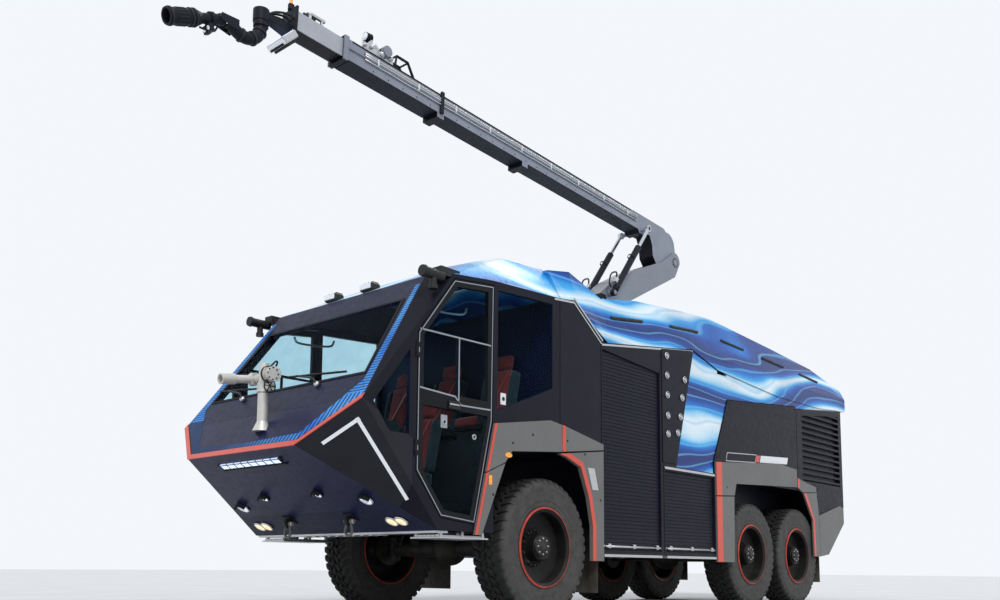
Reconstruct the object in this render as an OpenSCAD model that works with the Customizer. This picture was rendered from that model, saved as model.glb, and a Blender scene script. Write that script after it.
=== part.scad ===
// Six-wheel airport fire truck with a two-stage elevated boom, in millimetres.
// +X is forward, +Y is the left side, +Z is up, and the ground is z = 0.
// Places along X are given from the front axle, and place() moves the vehicle
// so that its origin is the centre of its footprint.

/* [Chassis] */
// Front axle to the first rear axle
wheelbase = 4793; // [4760:1:4830]
// Distance between the two rear axles
bogie = 1558; // [1540:1:1580]
// Height of the frame rails
rail_h = 250; // [200:5:255]
// Width of one frame rail
rail_w = 90; // [70:5:110]
// Outer face of the frame rails from the centre line
rail_y = 430; // [410:5:450]
// Underside of the frame rails above the ground
rail_z = 890; // [880:5:900]
// Outer radius of the axle tubes
axle_r = 95; // [80:1:105]

/* [Wheels] */
// Tyre radius out to the lug tips
tyre_r = 745; // [735:1:750]
// Tyre section width
tyre_w = 430; // [400:5:440]
// Bead seat radius
rim_r = 395; // [385:1:400]
// Wheel centre plane from the centre line
wheel_y = 1225; // [1215:1:1230]
// Radius of the hub cap
hub_r = 146; // [120:1:160]
// Radius of the stub axles in the hubs
stub_r = 60; // [50:1:70]
// King pin radius
pin_r = 32; // [26:1:36]
// King pin axis from the centre line
pin_y = 960; // [950:1:970]

/* [Cab] */
// Half width of the cab and body side planes
side_y = 1470; // [1460:1:1475]
// Foremost edge of the nose, along X
nose_x = 2887; // [2850:1:2920]
// Height of the nose edge
nose_z = 1593; // [1570:1:1610]
// Half width of the nose edge before it turns up
nose_y = 890; // [850:1:930]
// Where the raised nose edge meets the side plane
corner_x = 2605; // [2590:1:2620]
// Top edge of the windscreen, along X
brow_x = 1631; // [1615:1:1645]
// Top edge of the windscreen, height
brow_z = 3381; // [3370:1:3390]
// Half width of the windscreen's top edge
brow_y = 1209; // [1195:1:1220]
// Foot of the raked chin, along X
chin_x = 1660; // [1640:1:1680]
// Foot of the raked chin, height
chin_z = 870; // [865:1:880]
// Back of the cab
cab_rear_x = -190; // [-195:1:-185]
// Thickness of the cab walls
cab_wall = 45; // [38:1:50]
// Thickness of the window glass
glass_t = 12; // [8:1:14]
// Underside of the raised floor over the front wheels
well_z = 1800; // [1790:1:1810]
// Front wall of the front wheel housings
well_x = 890; // [885:1:895]

/* [Doors] */
// Thickness of a cab door
door_t = 46; // [40:1:50]
// Gap round a cab door
door_gap = 8; // [7:1:10]
// Width of the door's frame
door_frame = 75; // [60:1:85]

/* [Body] */
// Half width over the fenders
fender_y = 1494; // [1490:1:1498]
// Thickness of the red edge strips on the fenders
strip_t = 6; // [4:1:8]
// Rear end of the body
rear_x = -8420; // [-8440:1:-8400]
// Lower edge of the side lockers
sill_z = 690; // [680:1:700]
// Depth of the body's side panels
panel_t = 70; // [60:1:75]
// Height of one shutter slat
slat_h = 44; // [40:1:60]
// Recess of the shutters behind the side plane
shutter_in = 22; // [18:1:26]
// Pitch of the louvre blades
louvre_pitch = 96; // [90:1:110]

/* [Boom] */
// Slew centre of the boom, along X
slew_x = -2500; // [-2520:1:-2480]
// Top of the turret's fixed base ring
ring_z = 4090; // [4080:1:4095]
// Foot pivot of the lower arm, along X
foot_x = -2850; // [-2860:1:-2840]
// Foot pivot of the lower arm, height
foot_z = 4320; // [4310:1:4330]
// Knuckle pivot, along X
knuckle_x = -4900; // [-4910:1:-4890]
// Knuckle pivot, height
knuckle_z = 5420; // [5410:1:5430]
// Depth of the lower arm
arm_h = 390; // [370:5:400]
// Width of the upper boom
boom_w = 250; // [240:1:260]
// Height of the upper boom
boom_h = 240; // [230:1:250]
// Underside of the upper boom over the knuckle's axis
boom_off = 242; // [238:1:250]
// Front end of the outer boom section from the knuckle
boom_l = 6790; // [6750:5:6830]
// Rise of the upper boom at rest
boom_rise = 2.67; // [2.5:0.01:2.8]
// Wall thickness of the boom sections
boom_wall = 12; // [10:1:14]
// Part of the inner boom section that shows at rest
inner_out = 600; // [580:5:620]
// Gap between the two boom sections
slide_gap = 6; // [5:1:8]
// Radius of the boom's pivot pins
pivot_r = 45; // [40:1:50]
// Outer radius of the lift cylinders
barrel_r = 48; // [45:1:52]
// Radius of the lift rods
rod_r = 28; // [24:1:32]
// Lift cylinders from the centre line
lift_y = 250; // [245:1:260]

/* [Monitors] */
// Bore of the water pipes
pipe_r = 62; // [58:1:66]
// Bend radius of the tip monitor's elbow
bend_r = 190; // [185:1:195]
// Length of the tip nozzle
tip_l = 600; // [580:5:620]
// Droop of the tip nozzle at rest
tip_droop = 22; // [20:1:24]
// Bumper monitor from the centre line
monitor_y = 150; // [140:1:160]

/* [Hidden] */
$fn = 64;

black = [0.10, 0.11, 0.13];
dark = [0.16, 0.17, 0.20];
blue = [0.16, 0.42, 0.78];
grey = [0.50, 0.50, 0.50];
red = [0.86, 0.27, 0.20];
silver = [0.75, 0.76, 0.78];
smoke = [0.35, 0.42, 0.46, 0.5];
rubber = [0.12, 0.12, 0.12];

axle_z = tyre_r;
rail_top = rail_z + rail_h;
floor_z = rail_top;
rail_front_x = 1150;
// Cross members, by the rear face of each along X
cross_x = [1060, -1200, -2600, -3900, -5570, -7300];
axle2_x = -wheelbase;
axle3_x = -wheelbase - bogie;
// Running clearance of a turning pin, and the seat of a fixed piece
run_gap = 0.3;

// The tip nozzle's mouth is the foremost point of the vehicle
tip_x = 3270;
tip_z = 5790;
mouth_r = 80;
reach_x = tip_x + tip_l * cos(tip_droop) + mouth_r * sin(tip_droop);
mid_x = (reach_x + rear_x) / 2;

module place() {
    translate([-mid_x, 0, 0]) children();
}

module both_sides() {
    children();
    mirror([0, 1, 0]) children();
}

// A profile in the X-Z plane, extruded from y0 to y1
module side_plate(points, y0, y1) {
    translate([0, y1, 0]) rotate([90, 0, 0]) linear_extrude(y1 - y0) polygon(points);
}

module slab(points, half_w) {
    side_plate(points, -half_w, half_w);
}

// A cylinder along Y at (x, z), from y0 to y1
module rod_y(x, z, r, y0, y1) {
    translate([x, y1, z]) rotate([90, 0, 0]) cylinder(r = r, h = y1 - y0);
}

// A box from its low corner to its high corner
module block(low, high) {
    translate(low) cube(high - low);
}

function unit(v) = v / norm(v);
function outward(a, b) = let (d = unit(b - a)) [d.y, -d.x];
function turning(p) = let (n = len(p))
    sign([for (i = [0:n - 1]) cross(p[i], p[(i + 1) % n])] * [for (i = [0:n - 1]) 1]);

// The same outline with every edge moved inwards by d, with mitred corners
function inset(p, d) = let (n = len(p), s = turning(p) * d) [
    for (i = [0:n - 1])
        let (a = outward(p[(i + n - 1) % n], p[i]), b = outward(p[i], p[(i + 1) % n]))
        p[i] - s * (a + b) / (1 + a * b)
];

// Cab

screen_run = nose_x - brow_x;
screen_rise = brow_z - nose_z;
screen_tilt = atan2(screen_rise, screen_run);
corner_z = nose_z + (nose_x - corner_x) * screen_rise / screen_run;
screen_corner_u = (nose_x - corner_x) / cos(screen_tilt);
screen_top_u = screen_run / cos(screen_tilt);
chin_tilt = atan2(nose_z - chin_z, nose_x - chin_x);

// Upper edge of the cab's side plane: fold, over the door, and at the back
fold = [1490, 3380];
edge_mid = [905, 3450];
edge_rear_z = 3515;

// Convex outer form of the cab below its roof, with its walls moved inwards by d.
// Its top stays open where d is more than zero.
module cab_form(d) {
    screen_in = d / sin(screen_tilt);
    low = chin_z + d;
    back = cab_rear_x + d;
    hull() {
        slab([
            [nose_x - 1.9 * d, nose_z], [brow_x - screen_in, brow_z],
            [back, brow_z], [back, low], [chin_x - 0.3 * d, low]
        ], nose_y - 0.4 * d);
        slab([[brow_x - screen_in, brow_z], [back, brow_z], [back, low]], brow_y - 0.9 * d);
        slab([
            [corner_x - 1.6 * d, corner_z], fold + [-screen_in, d], edge_mid + [0, d],
            [back, edge_rear_z + d], [back, low], [chin_x - 0.3 * d, low]
        ], side_y - d);
    }
}

// The cab's lower front corner region, below the red edge line
nose_split_x = 2000;
module nose_region() {
    hull() {
        slab([
            [nose_split_x, 0], [nose_x + 100, 0], [nose_x + 100, nose_z], [nose_split_x, nose_z]
        ], nose_y);
        slab([
            [nose_split_x, 0], [nose_x, 0], [corner_x, corner_z], [nose_split_x, 1700]
        ], side_y + 20);
    }
}

// Local frame of the windscreen: x runs up the slope from the nose edge, z points inwards
module on_screen() {
    translate([nose_x, 0, nose_z]) rotate([0, 180 + screen_tilt, 0]) children();
}

// Local frame of the chin: x runs up the slope from its foot, z points outwards and down
module on_chin() {
    translate([chin_x, 0, chin_z]) rotate([180, 0, 0]) rotate([0, chin_tilt, 0]) children();
}

// Half width of the windscreen plane at a distance u up its slope
function screen_y(u) = side_y - (u - screen_corner_u) * (side_y - brow_y)
    / (screen_top_u - screen_corner_u);

glass_low_u = 830;
glass_top_u = 1860;
screen_band = 150;
screen_hole = [
    [glass_low_u, -screen_y(glass_low_u) + screen_band],
    [glass_low_u, screen_y(glass_low_u) - screen_band],
    [glass_top_u, screen_y(glass_top_u) - screen_band],
    [glass_top_u, -screen_y(glass_top_u) + screen_band]
];

// Outlines on the side plane, as [x, z]
door_hole = [
    [1960, 2725], [1960, 1395], [1630, 985], [1165, 938],
    [905, 1985], [905, 3405], [1478, 3340]
];
rear_window_hole = [[840, 2110], [-60, 2470], [-60, 3420], [840, 3365]];
quarter_hole = [[2480, 1985], [2285, 1735], [2050, 1735], [2050, 2530]];

// Lining of the cab, just inside its walls and its doors
lining = max(cab_wall, door_t) + run_gap;
door_edge = inset(door_hole, door_gap);
door_inner = inset(door_edge, door_frame);
door_rail_z = 2030;
door_rail_h = 150;
door_glass_upper = [
    [door_inner[0].x, door_inner[0].y], [door_inner[1].x, door_rail_z + door_rail_h],
    [door_inner[5].x, door_rail_z + door_rail_h], door_inner[5], door_inner[6]
];
door_glass_lower = [
    [door_inner[1].x, door_rail_z], door_inner[1], door_inner[2], door_inner[3],
    door_inner[4], [door_inner[4].x, door_rail_z]
];

module wheel_well_cut() {
    block([cab_rear_x - 10, -side_y - 10, 0], [well_x, side_y + 10, well_z]);
    rail_slot();
}

// Room for the frame rails under the cab
module rail_slot() {
    block([0, -rail_y - 12, 0], [rail_front_x + 30, rail_y + 12, rail_top]);
}

module cab_openings() {
    on_screen() translate([0, 0, -100]) linear_extrude(400) polygon(screen_hole);
    both_sides() {
        for (hole = [door_hole, rear_window_hole, quarter_hole])
            side_plate(hole, side_y - 3 * cab_wall, side_y + 100);
    }
}

module cab_walls() {
    difference() {
        cab_form(0);
        cab_form(cab_wall);
        wheel_well_cut();
        cab_openings();
    }
}

// Door hinges: a middle barrel on the cab's wall between the two on the door, which share a pin
hinge_x = 1968;
hinge_zs = [1620, 2540];
hinge_r = 13;
hinge_pin_r = 6;
hinge_h = 48;
module hinge_barrel(z, bore) {
    difference() {
        translate([hinge_x, side_y, z - hinge_h / 2]) cylinder(r = hinge_r, h = hinge_h);
        if (bore)
            translate([hinge_x, side_y, z - hinge_h]) cylinder(r = hinge_pin_r + run_gap, h = 2 * hinge_h);
    }
}

module hinge_pockets() {
    for (z = hinge_zs)
        block([hinge_x - hinge_r - 4, side_y - hinge_r - 4, z - 1.5 * hinge_h - 4],
            [hinge_x + hinge_r + 4, side_y + 50, z + 1.5 * hinge_h + 4]);
}

module cab_hinges() {
    for (z = hinge_zs) {
        hinge_barrel(z, true);
        block([hinge_x + hinge_r - 2, side_y - hinge_r - 6, z - hinge_h / 2],
            [hinge_x + hinge_r + 8, side_y + 4, z + hinge_h / 2]);
    }
}

module door_hinges() {
    for (z = hinge_zs) {
        for (s = [-1, 1]) {
            hinge_barrel(z + s * (hinge_h + 1), false);
            block([hinge_x - 40, side_y - 8, z + s * (hinge_h + 1) - hinge_h / 2],
                [hinge_x - 6, side_y + 6, z + s * (hinge_h + 1) + hinge_h / 2]);
        }
        translate([hinge_x, side_y, z - hinge_h]) cylinder(r = hinge_pin_r, h = 2 * hinge_h);
    }
}

module cab_shell() {
    color(dark) place() {
        difference() {
            cab_walls();
            nose_region();
            both_sides() hinge_pockets();
        }
        both_sides() cab_hinges();
    }
}

module nose_panel() {
    color(black) place() intersection() {
        cab_walls();
        nose_region();
    }
}

roof_t = 30;
module roof_form(d) {
    lift = 40;
    hull() {
        slab([fold + [-d, -d], edge_mid, [cab_rear_x, edge_rear_z], [cab_rear_x, edge_rear_z - 60]],
            side_y - d);
        slab([
            [brow_x - 2 * d, brow_z - d], [1490, 3452 - d], [900, 3715 - d], [500, 3850 - d],
            [cab_rear_x, 3900 - d], [cab_rear_x, edge_rear_z]
        ], brow_y - d);
        slab([
            [brow_x - 2 * d, brow_z - d], [1490, 3462 - d], [900, 3715 + lift - d],
            [500, 3850 + lift - d], [cab_rear_x, 3900 + lift - d], [cab_rear_x, edge_rear_z]
        ], 700);
    }
}

module cab_roof() {
    color(blue) place() difference() {
        roof_form(0);
        cab_form(0);
        roof_form(roof_t);
    }
}

module windscreen() {
    color(smoke) place() on_screen() translate([0, 0, 4])
        linear_extrude(glass_t) polygon(inset(screen_hole, run_gap));
}

module side_windows() {
    color(smoke) place() both_sides() {
        for (hole = [rear_window_hole, quarter_hole])
            side_plate(inset(hole, run_gap), side_y - 4 - glass_t, side_y - 4);
    }
}

riser_t = 40;
step_y = 1010;
step_z = chin_z + cab_wall;
module cab_floor() {
    half = side_y;
    color(dark) place() intersection() {
        cab_form(lining);
        union() {
            difference() {
                union() {
                    block([well_x, -half, floor_z], [2050, half, floor_z + riser_t]);
                    block([well_x, -half, step_z], [well_x + riser_t, half, well_z + riser_t]);
                    block([cab_rear_x, -half, well_z], [well_x + riser_t, half, well_z + riser_t]);
                }
                both_sides()
                    block([well_x + riser_t, step_y, floor_z - 1], [1700, side_y, floor_z + riser_t + 1]);
                rail_slot();
            }
            both_sides() {
                block([well_x + riser_t, step_y, step_z], [1640, half, step_z + 30]);
                block([well_x + riser_t, step_y - 30, step_z], [1640, step_y, floor_z]);
            }
        }
    }
}

// Seats as [x of the seat's front edge, y, height of the floor under them]
seat_rows = [
    [1600, 560, floor_z + riser_t], [1600, -560, floor_z + riser_t],
    [640, 820, well_z + riser_t], [640, -820, well_z + riser_t], [640, 0, well_z + riser_t]
];
module seat() {
    block([-480, -210, 0], [-60, 210, 180]);
    block([-520, -250, 180], [0, 250, 300]);
    translate([-440, 0, 290]) rotate([0, -12, 0]) block([-110, -240, 0], [0, 240, 640]);
    translate([-580, 0, 915]) rotate([0, -12, 0]) block([-80, -130, 0], [0, 130, 170]);
}

module seats() {
    color(red) place()
        for (s = seat_rows) translate([s[0], s[1], s[2]]) seat();
}

module dashboard() {
    color(black) place() {
        intersection() {
            cab_form(lining);
            slab([[2300, floor_z + riser_t], [2300, 1850], [1960, 1900], [1900, 1860], [1960, 1600],
                [1990, floor_z + riser_t]], 1180);
        }
        translate([1900, 560, 1760]) rotate([0, 55, 0]) {
            cylinder(r = 28, h = 190);
            translate([0, 0, -12]) rotate_extrude() translate([215, 0]) circle(r = 16, $fn = 24);
            for (a = [0, 120, 240]) rotate(a) block([0, -14, -20], [212, 14, -4]);
            translate([0, 0, -30]) cylinder(r = 60, h = 32);
        }
    }
}

// The red edge bar follows the nose edge and turns up to the corners
trim_w = 62;
module nose_trim() {
    color(red) place() {
        on_screen() translate([-6, -nose_y, -8]) cube([trim_w, 2 * nose_y, 7.7]);
        both_sides() on_screen()
            translate([0, 0, -8]) linear_extrude(7.7) polygon([
                [-6, nose_y], [screen_corner_u - 6, side_y - 2],
                [screen_corner_u - 6 + trim_w, side_y - 8], [trim_w - 6, nose_y]
            ]);
    }
}

chin_l = norm([nose_x - chin_x, nose_z - chin_z]);
// Round chin lamps as [distance up the chin, y, radius]
chin_lamps = [
    [560, 1010, 62], [560, -1010, 62], [700, 440, 42], [700, -440, 42],
    [190, 1020, 58], [190, 1150, 58], [190, -1020, 58], [190, -1150, 58]
];
bar_lamps = 8;
module front_lamps() {
    color("white") place() on_chin() {
        for (l = chin_lamps) translate([l[0], l[1], 0.2]) {
            cylinder(r = l[2], h = 18);
            translate([0, 0, 18]) cylinder(r1 = l[2] - 6, r2 = l[2] - 22, h = 10, $fn = 48);
        }
        for (i = [0:bar_lamps - 1])
            translate([chin_l - 200, -480 + i * 122, 0.2]) cube([62, 106, 16]);
    }
}

module cab_steps() {
    color(silver) place() both_sides() {
        block([1500, 0, chin_z - 22], [1650, 1440, chin_z]);
        block([930, 1030, 800], [1600, 1440, 815]);
        for (x = [960, 1250, 1540]) block([x, 1060, 815], [x + 30, 1090, chin_z]);
        for (x = [960, 1250, 1540]) block([x, 1380, 815], [x + 30, 1410, chin_z]);
    }
}

// Tow lugs stand on the chin, with a pin eye through each
tow_y = 500;
tow_u = 280;
tow_out = 52;
tow_bore_r = 22;
module tow_lugs() {
    color(grey) place() on_chin() both_sides() translate([0, tow_y, 0]) {
        translate([tow_u - 70, -60, run_gap]) cube([140, 120, 12]);
        difference() {
            union() {
                block([tow_u - 45, -18, 10], [tow_u + 45, 18, tow_out]);
                rod_y(tow_u, tow_out, 45, -18, 18);
            }
            rod_y(tow_u, tow_out, tow_bore_r, -19, 19);
        }
    }
}

// Fenders, outlines on the side plane

front_top = [
    [900, 1970], [0, 2112], [-170, 2090], [-260, 2080], [-985, 1950], [-985, 1885],
    [-170, 1785], [630, 1715], [735, 1590], [1022, 1470]
];
front_fore = [[1027, 1456], [738, 1578], [1080, 842], [1180, 842]];
front_aft = [
    [-155, 1765], [-985, 1868], [-985, 610], [-765, 610], [-765, 1000], [-690, 1320], [-540, 1650],
    [-300, 1735]
];
rear_top = [
    [-3650, 1990], [-5650, 2140], [-6270, 2100], [-6270, 1822], [-4230, 1730], [-4170, 1560], [-3650, 1530]
];
rear_fore = [[-3650, 1515], [-4160, 1545], [-4130, 625], [-3650, 625]];
rear_aft_top = [[-6285, 1965], [-7000, 1870], [-7000, 1790], [-6480, 1755], [-6285, 1820]];
rear_aft = [[-6500, 1742], [-7010, 1778], [-7080, 1410], [-7080, 745], [-6850, 745], [-6830, 1330]];
rear_corner = [[-7092, 1410], [-7970, 1615], [-8110, 1590], [-8100, 1300], [-7440, 785], [-7092, 745]];

fender_in = 20;
module fender_plate(points) {
    side_plate(points, side_y - fender_in, fender_y);
}

module front_fenders() {
    color(grey) place() both_sides() difference() {
        for (p = [front_top, front_fore, front_aft]) fender_plate(p);
        // The inner side is cut away where the cab and the body carry the fender
        side_plate([[2000, 3000], [-3000, 3000], [-3000, 0], [-985, 0], [-985, well_z], [2000, well_z]],
            0, side_y + 0.2);
        block([well_x, 0, 0], [2500, side_y + 0.2, well_z + 10]);
    }
}

module rear_fenders() {
    color(grey) place() both_sides() {
        for (p = [rear_top, rear_fore, rear_aft_top, rear_aft, rear_corner])
            side_plate(p, side_y + 0.2, fender_y);
    }
}

module fender_trim() {
    color(red) place() both_sides() {
        for (p = [
            [[900, 1970], [1022, 1470], [987, 1485], [863, 1976]],
            [[1027, 1456], [1180, 842], [1145, 842], [991, 1471]],
            [[-210, 2085], [-262, 2079], [-262, 1796], [-210, 1790]],
            [[-765, 610], [-765, 1000], [-690, 1320], [-540, 1650], [-300, 1735], [-155, 1765],
                [-330, 1786], [-580, 1705], [-748, 1345], [-825, 1008], [-825, 610]],
            [[-3650, 1990], [-3800, 2001], [-3800, 1539], [-3650, 1530]],
            [[-3650, 1515], [-3800, 1524], [-3800, 625], [-3650, 625]],
            [[-6285, 1965], [-6360, 1955], [-6360, 1797], [-6285, 1820]],
            [[-6500, 1742], [-6600, 1749], [-6890, 1330], [-6915, 745], [-6850, 745], [-6830, 1330]]
        ]) side_plate(p, fender_y, fender_y + strip_t);
    }
}

// Body behind the cab

core_y = side_y - panel_t;
body_x = -200;
core_top = 3140;
well2_fore_x = -3960;
well2_aft_x = -7140;
well2_y = 930;
engine_low = [-8000, -430, rail_top];
engine_high = [-6700, 430, 2250];

core_high_z = well_z + 20;
module body_core() {
    color(black) place() difference() {
        union() {
            slab([[body_x, core_high_z], [body_x, 3480], [-1000, core_top], [-8250, core_top],
                [-8250, 1600], [-7500, rail_top], [-985, rail_top], [-985, core_high_z]], core_y);
            both_sides() {
                block([-3950, rail_y + 90, sill_z], [-985, core_y, 1300]);
                side_plate([[-7160, 760], [-7160, 1700], [-8200, 1700], [-8200, 1330], [-7500, 800]],
                    well2_y, core_y);
                side_plate([[-7160, 760], [-7160, 1385], [-8190, 1582], [-8190, 1330], [-7500, 800]],
                    well2_y, side_y);
            }
        }
        both_sides()
            block([well2_aft_x, well2_y, 0], [well2_fore_x, side_y, core_high_z]);
        block(engine_low - [2, 2, 50], engine_high + [2, 2, 2]);
    }
    color(black) place() rear_face();
}

// Rear face: a slatted engine door between two lamp columns, over a bumper beam
rear_plane_x = -8250;
rear_slats = 22;
rear_door_low = 1700;
rear_door_half = 820;
rear_post_w = 60;
rear_lamp_y = [960, 1180];
rear_lamp_z = [1830, 1910, 1990];
rear_lamp_r = 34;
bumper_z = [1480, 1600];
bumper_half = 1300;
module rear_face() {
    x = rear_plane_x;
    low = rear_door_low;
    high = core_top - 60;
    frame_half = rear_door_half + 20 + rear_post_w;
    pitch = (high - rear_post_w - low) / rear_slats;
    for (i = [0:rear_slats - 1])
        translate([0, 0, low + i * pitch])
            block([x - 12, -rear_door_half, 4], [x + 1, rear_door_half, pitch - 4]);
    both_sides() {
        block([x - 22, rear_door_half + 20, low - 20], [x + 1, frame_half, high]);
        block([x - 18, rear_lamp_y[0], rear_lamp_z[0] - 70], [x + 1, rear_lamp_y[1], rear_lamp_z[2] + 70]);
        for (z = rear_lamp_z)
            translate([x - 30, (rear_lamp_y[0] + rear_lamp_y[1]) / 2, z]) rotate([0, 90, 0])
                cylinder(r = rear_lamp_r, h = 14);
    }
    block([x - 22, -frame_half, low - 60], [x + 1, frame_half, low - 20]);
    block([x - 22, -frame_half, high - 40], [x + 1, frame_half, high]);
    block([x - 60, -bumper_half, bumper_z[0]], [x + 60, bumper_half, bumper_z[1]]);
}

module engine_block() {
    color(grey) place() block(engine_low, engine_high);
}

main_shutter = [[-2250, sill_z + 50], [-2250, 3000], [-1000, 3090], [-1000, sill_z + 50]];
low_shutter = [[-3620, sill_z + 50], [-3620, 1765], [-2350, 1765], [-2350, sill_z + 50]];
front_panel = [
    [body_x, core_high_z], [body_x, 3515], [-450, 3550], [-1000, 3165], [-3130, 3465], [-2640, 1830],
    [-3630, 1830], [-3630, 1775], [-3950, 1775], [-3950, sill_z], [-985, sill_z], [-985, core_high_z]
];
aft_panel = [[-3640, 1990], [-4070, 2910], [-6350, 3120], [-6350, 1780], [-3640, 1780]];
louvre_frame = [[-6365, 1780], [-6365, 3085], [-8130, 3280], [-8200, 3280], [-8200, 1590],
    [-7100, 1380], [-7100, 1740], [-6480, 1740], [-6480, 1780]];
louvre_hole = [[-6560, 1950], [-6560, 3010], [-8080, 3180], [-8080, 1950]];

module side_panels() {
    color(dark) place() both_sides() {
        difference() {
            side_plate(front_panel, core_y + 0.2, side_y);
            for (p = [main_shutter, low_shutter]) side_plate(p, core_y - 1, side_y + 1);
        }
        side_plate(aft_panel, core_y + 0.2, side_y);
    }
}

// Slats of a shutter: a shallow rounded rib on every slat
module shutter(outline) {
    low = outline[0].y;
    top = max([for (p = outline) p.y]);
    x0 = outline[0].x;
    x1 = outline[3].x;
    back = core_y + 0.2;
    face = side_y - shutter_in;
    intersection() {
        side_plate(inset(outline, run_gap), back, side_y);
        union() {
            block([x0, back, low], [x1, face - 8, top]);
            for (z = [low:slat_h:top])
                block([x0, back, z + 3], [x1, face, z + slat_h - 3]);
        }
    }
}

module shutters() {
    color(dark) place() both_sides() {
        shutter(main_shutter);
        shutter(low_shutter);
    }
}

// Push buttons as [x, z]
button_places = [
    [-2420, 3260], [-2420, 3000], [-2425, 2745], [-2430, 2480], [-2430, 2240],
    [-2860, 3010], [-2790, 2760], [-2740, 2500], [-2670, 2280]
];
button_outline = [[-2305, 1870], [-2305, 3330], [-3080, 3440], [-2625, 1870]];
module button_panels() {
    color(black) place() both_sides() {
        side_plate(button_outline, side_y, side_y + 8);
        for (b = button_places)
            rod_y(b.x, b.y, 34, side_y + 8, side_y + 20);
    }
}

module louvre_panels() {
    blades = floor((3100 - 1950) / louvre_pitch);
    color(black) place() both_sides() {
        difference() {
            side_plate(louvre_frame, core_y + 0.2, side_y);
            side_plate(louvre_hole, core_y + 12, side_y + 1);
        }
        intersection() {
            side_plate(inset(louvre_hole, 0.2), core_y + 12, side_y);
            for (i = [0:blades + 1])
                translate([0, 0, 1975 + i * louvre_pitch])
                    block([-8080, core_y + 11, 0], [-6560, side_y, 34]);
        }
    }
}

// Stations of the blue upper body as [x, lower edge z, upright to z, shoulder y, shoulder z, crown z]
crown_z = 3985;
upper_rows = [
    [body_x, 3520, 3530, 1290, 3880, 3920],
    [-540, 3485, 3500, 1330, 3935, 3960],
    [-1150, 3170, 3260, 1345, 3750, 3800],
    [-1900, 3260, 3320, 1350, 3890, crown_z],
    [-3100, 3470, 3480, 1350, 4005, crown_z],
    [-3800, 3300, 3480, 1350, 4055, 4010],
    [-5700, 3200, 3480, 1355, 3975, 3960],
    [-7200, 3220, 3480, 1360, 3895, 3890],
    [rear_x, 3310, 3520, 1390, 3690, 3700]
];

function ring(row) = let (
    half = [[side_y, row[1]], [side_y, row[2]], [row[3], row[4]], [0.6 * row[3], row[5]]]
) concat([for (p = half) [row[0], p.x, p.y]], [for (i = [3:-1:0]) [row[0], -half[i].x, half[i].y]]);

// A skin through the rings, with flat ends
module loft(rings) {
    n = len(rings[0]);
    m = len(rings);
    sides = [
        for (j = [0:m - 2], i = [0:n - 1])
            let (a = j * n + i, b = j * n + (i + 1) % n, c = a + n, d = b + n)
            each [[a, b, c], [b, d, c]]
    ];
    caps = [[for (i = [n - 1:-1:0]) i], [for (i = [0:n - 1]) (m - 1) * n + i]];
    polyhedron(points = [for (r = rings, p = r) p], faces = concat(sides, caps), convexity = 6);
}

blue_side = [
    [-2650, 1832], [-3137, 3455], [-3800, 3290], [-3800, 3250], [-4080, 3250], [-4080, 2945],
    [-3625, 1985], [-3625, 1832]
];
blue_rear = [[-4080, 2922], [-6360, 3132], [-6360, 3098], [-8130, 3292], [-8200, 3292], [-8200, 3430],
    [-4080, 3430]];
module upper_form() {
    loft([for (r = upper_rows) ring(r)]);
}

module body_upper() {
    color(blue) place() {
        difference() {
            upper_form();
            slab([[body_x + 1, 3000], [body_x + 1, 3480.2], [-1000, core_top + 0.2],
                [-8250.2, core_top + 0.2], [-8250.2, 3000]], core_y + 0.2);
            both_sides() {
                side_plate([for (p = front_panel) p + [0, 0.2]], core_y, side_y + 10);
                side_plate(aft_panel, core_y, side_y + 10);
                side_plate(louvre_frame, core_y, side_y + 10);
            }
        }
        both_sides() {
            side_plate(blue_side, core_y + 0.4, side_y - 15);
            side_plate(blue_rear, core_y + 0.4, side_y - 15);
        }
    }
}

module sill_rails() {
    color(silver) place() both_sides() {
        block([-2240, side_y - 60, sill_z - 30], [-1000, side_y + 20, sill_z - 0.2]);
        block([-3620, side_y - 60, sill_z - 30], [-2360, side_y + 20, sill_z - 0.2]);
        block([-3620, side_y, 1785], [-2340, side_y + 16, 1815]);
        side_plate([[-450, 3555], [-1000, 3170], [-1000, 3195], [-450, 3580]], side_y + 0.2, side_y + 14);
    }
}

// Hand rails low on the upper body's slope as [x from, x to], each following the slope
handle_rows = [[-1290, -1950], [-2640, -3340], [-4030, -4680], [-5320, -6040], [-6660, -7350]];
handle_r = 22;
handle_t = 0.52;
function upper_at(x, col) = lookup(x, [for (r = upper_rows) [r[0], r[col]]]);
function slope_at(x, t) = [
    x, side_y + t * (upper_at(x, 3) - side_y), upper_at(x, 2) + t * (upper_at(x, 4) - upper_at(x, 2))
];
module roof_handles() {
    color(black) place() difference() {
        both_sides() for (h = handle_rows) {
            hull() {
                translate(slope_at(h[0], handle_t)) sphere(r = handle_r, $fn = 12);
                translate(slope_at(h[1], handle_t)) sphere(r = handle_r, $fn = 12);
            }
        }
        upper_form();
    }
}

module mud_flaps() {
    color(rubber) place() both_sides() {
        block([-7160, 1010, 330], [-7146, 1440, 1000]);
        block([-930, 900, 250], [-916, 1440, 980]);
        for (y = [930, 1340]) block([-984.8, y, 900], [-929, y + 40, 950]);
    }
}

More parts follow.
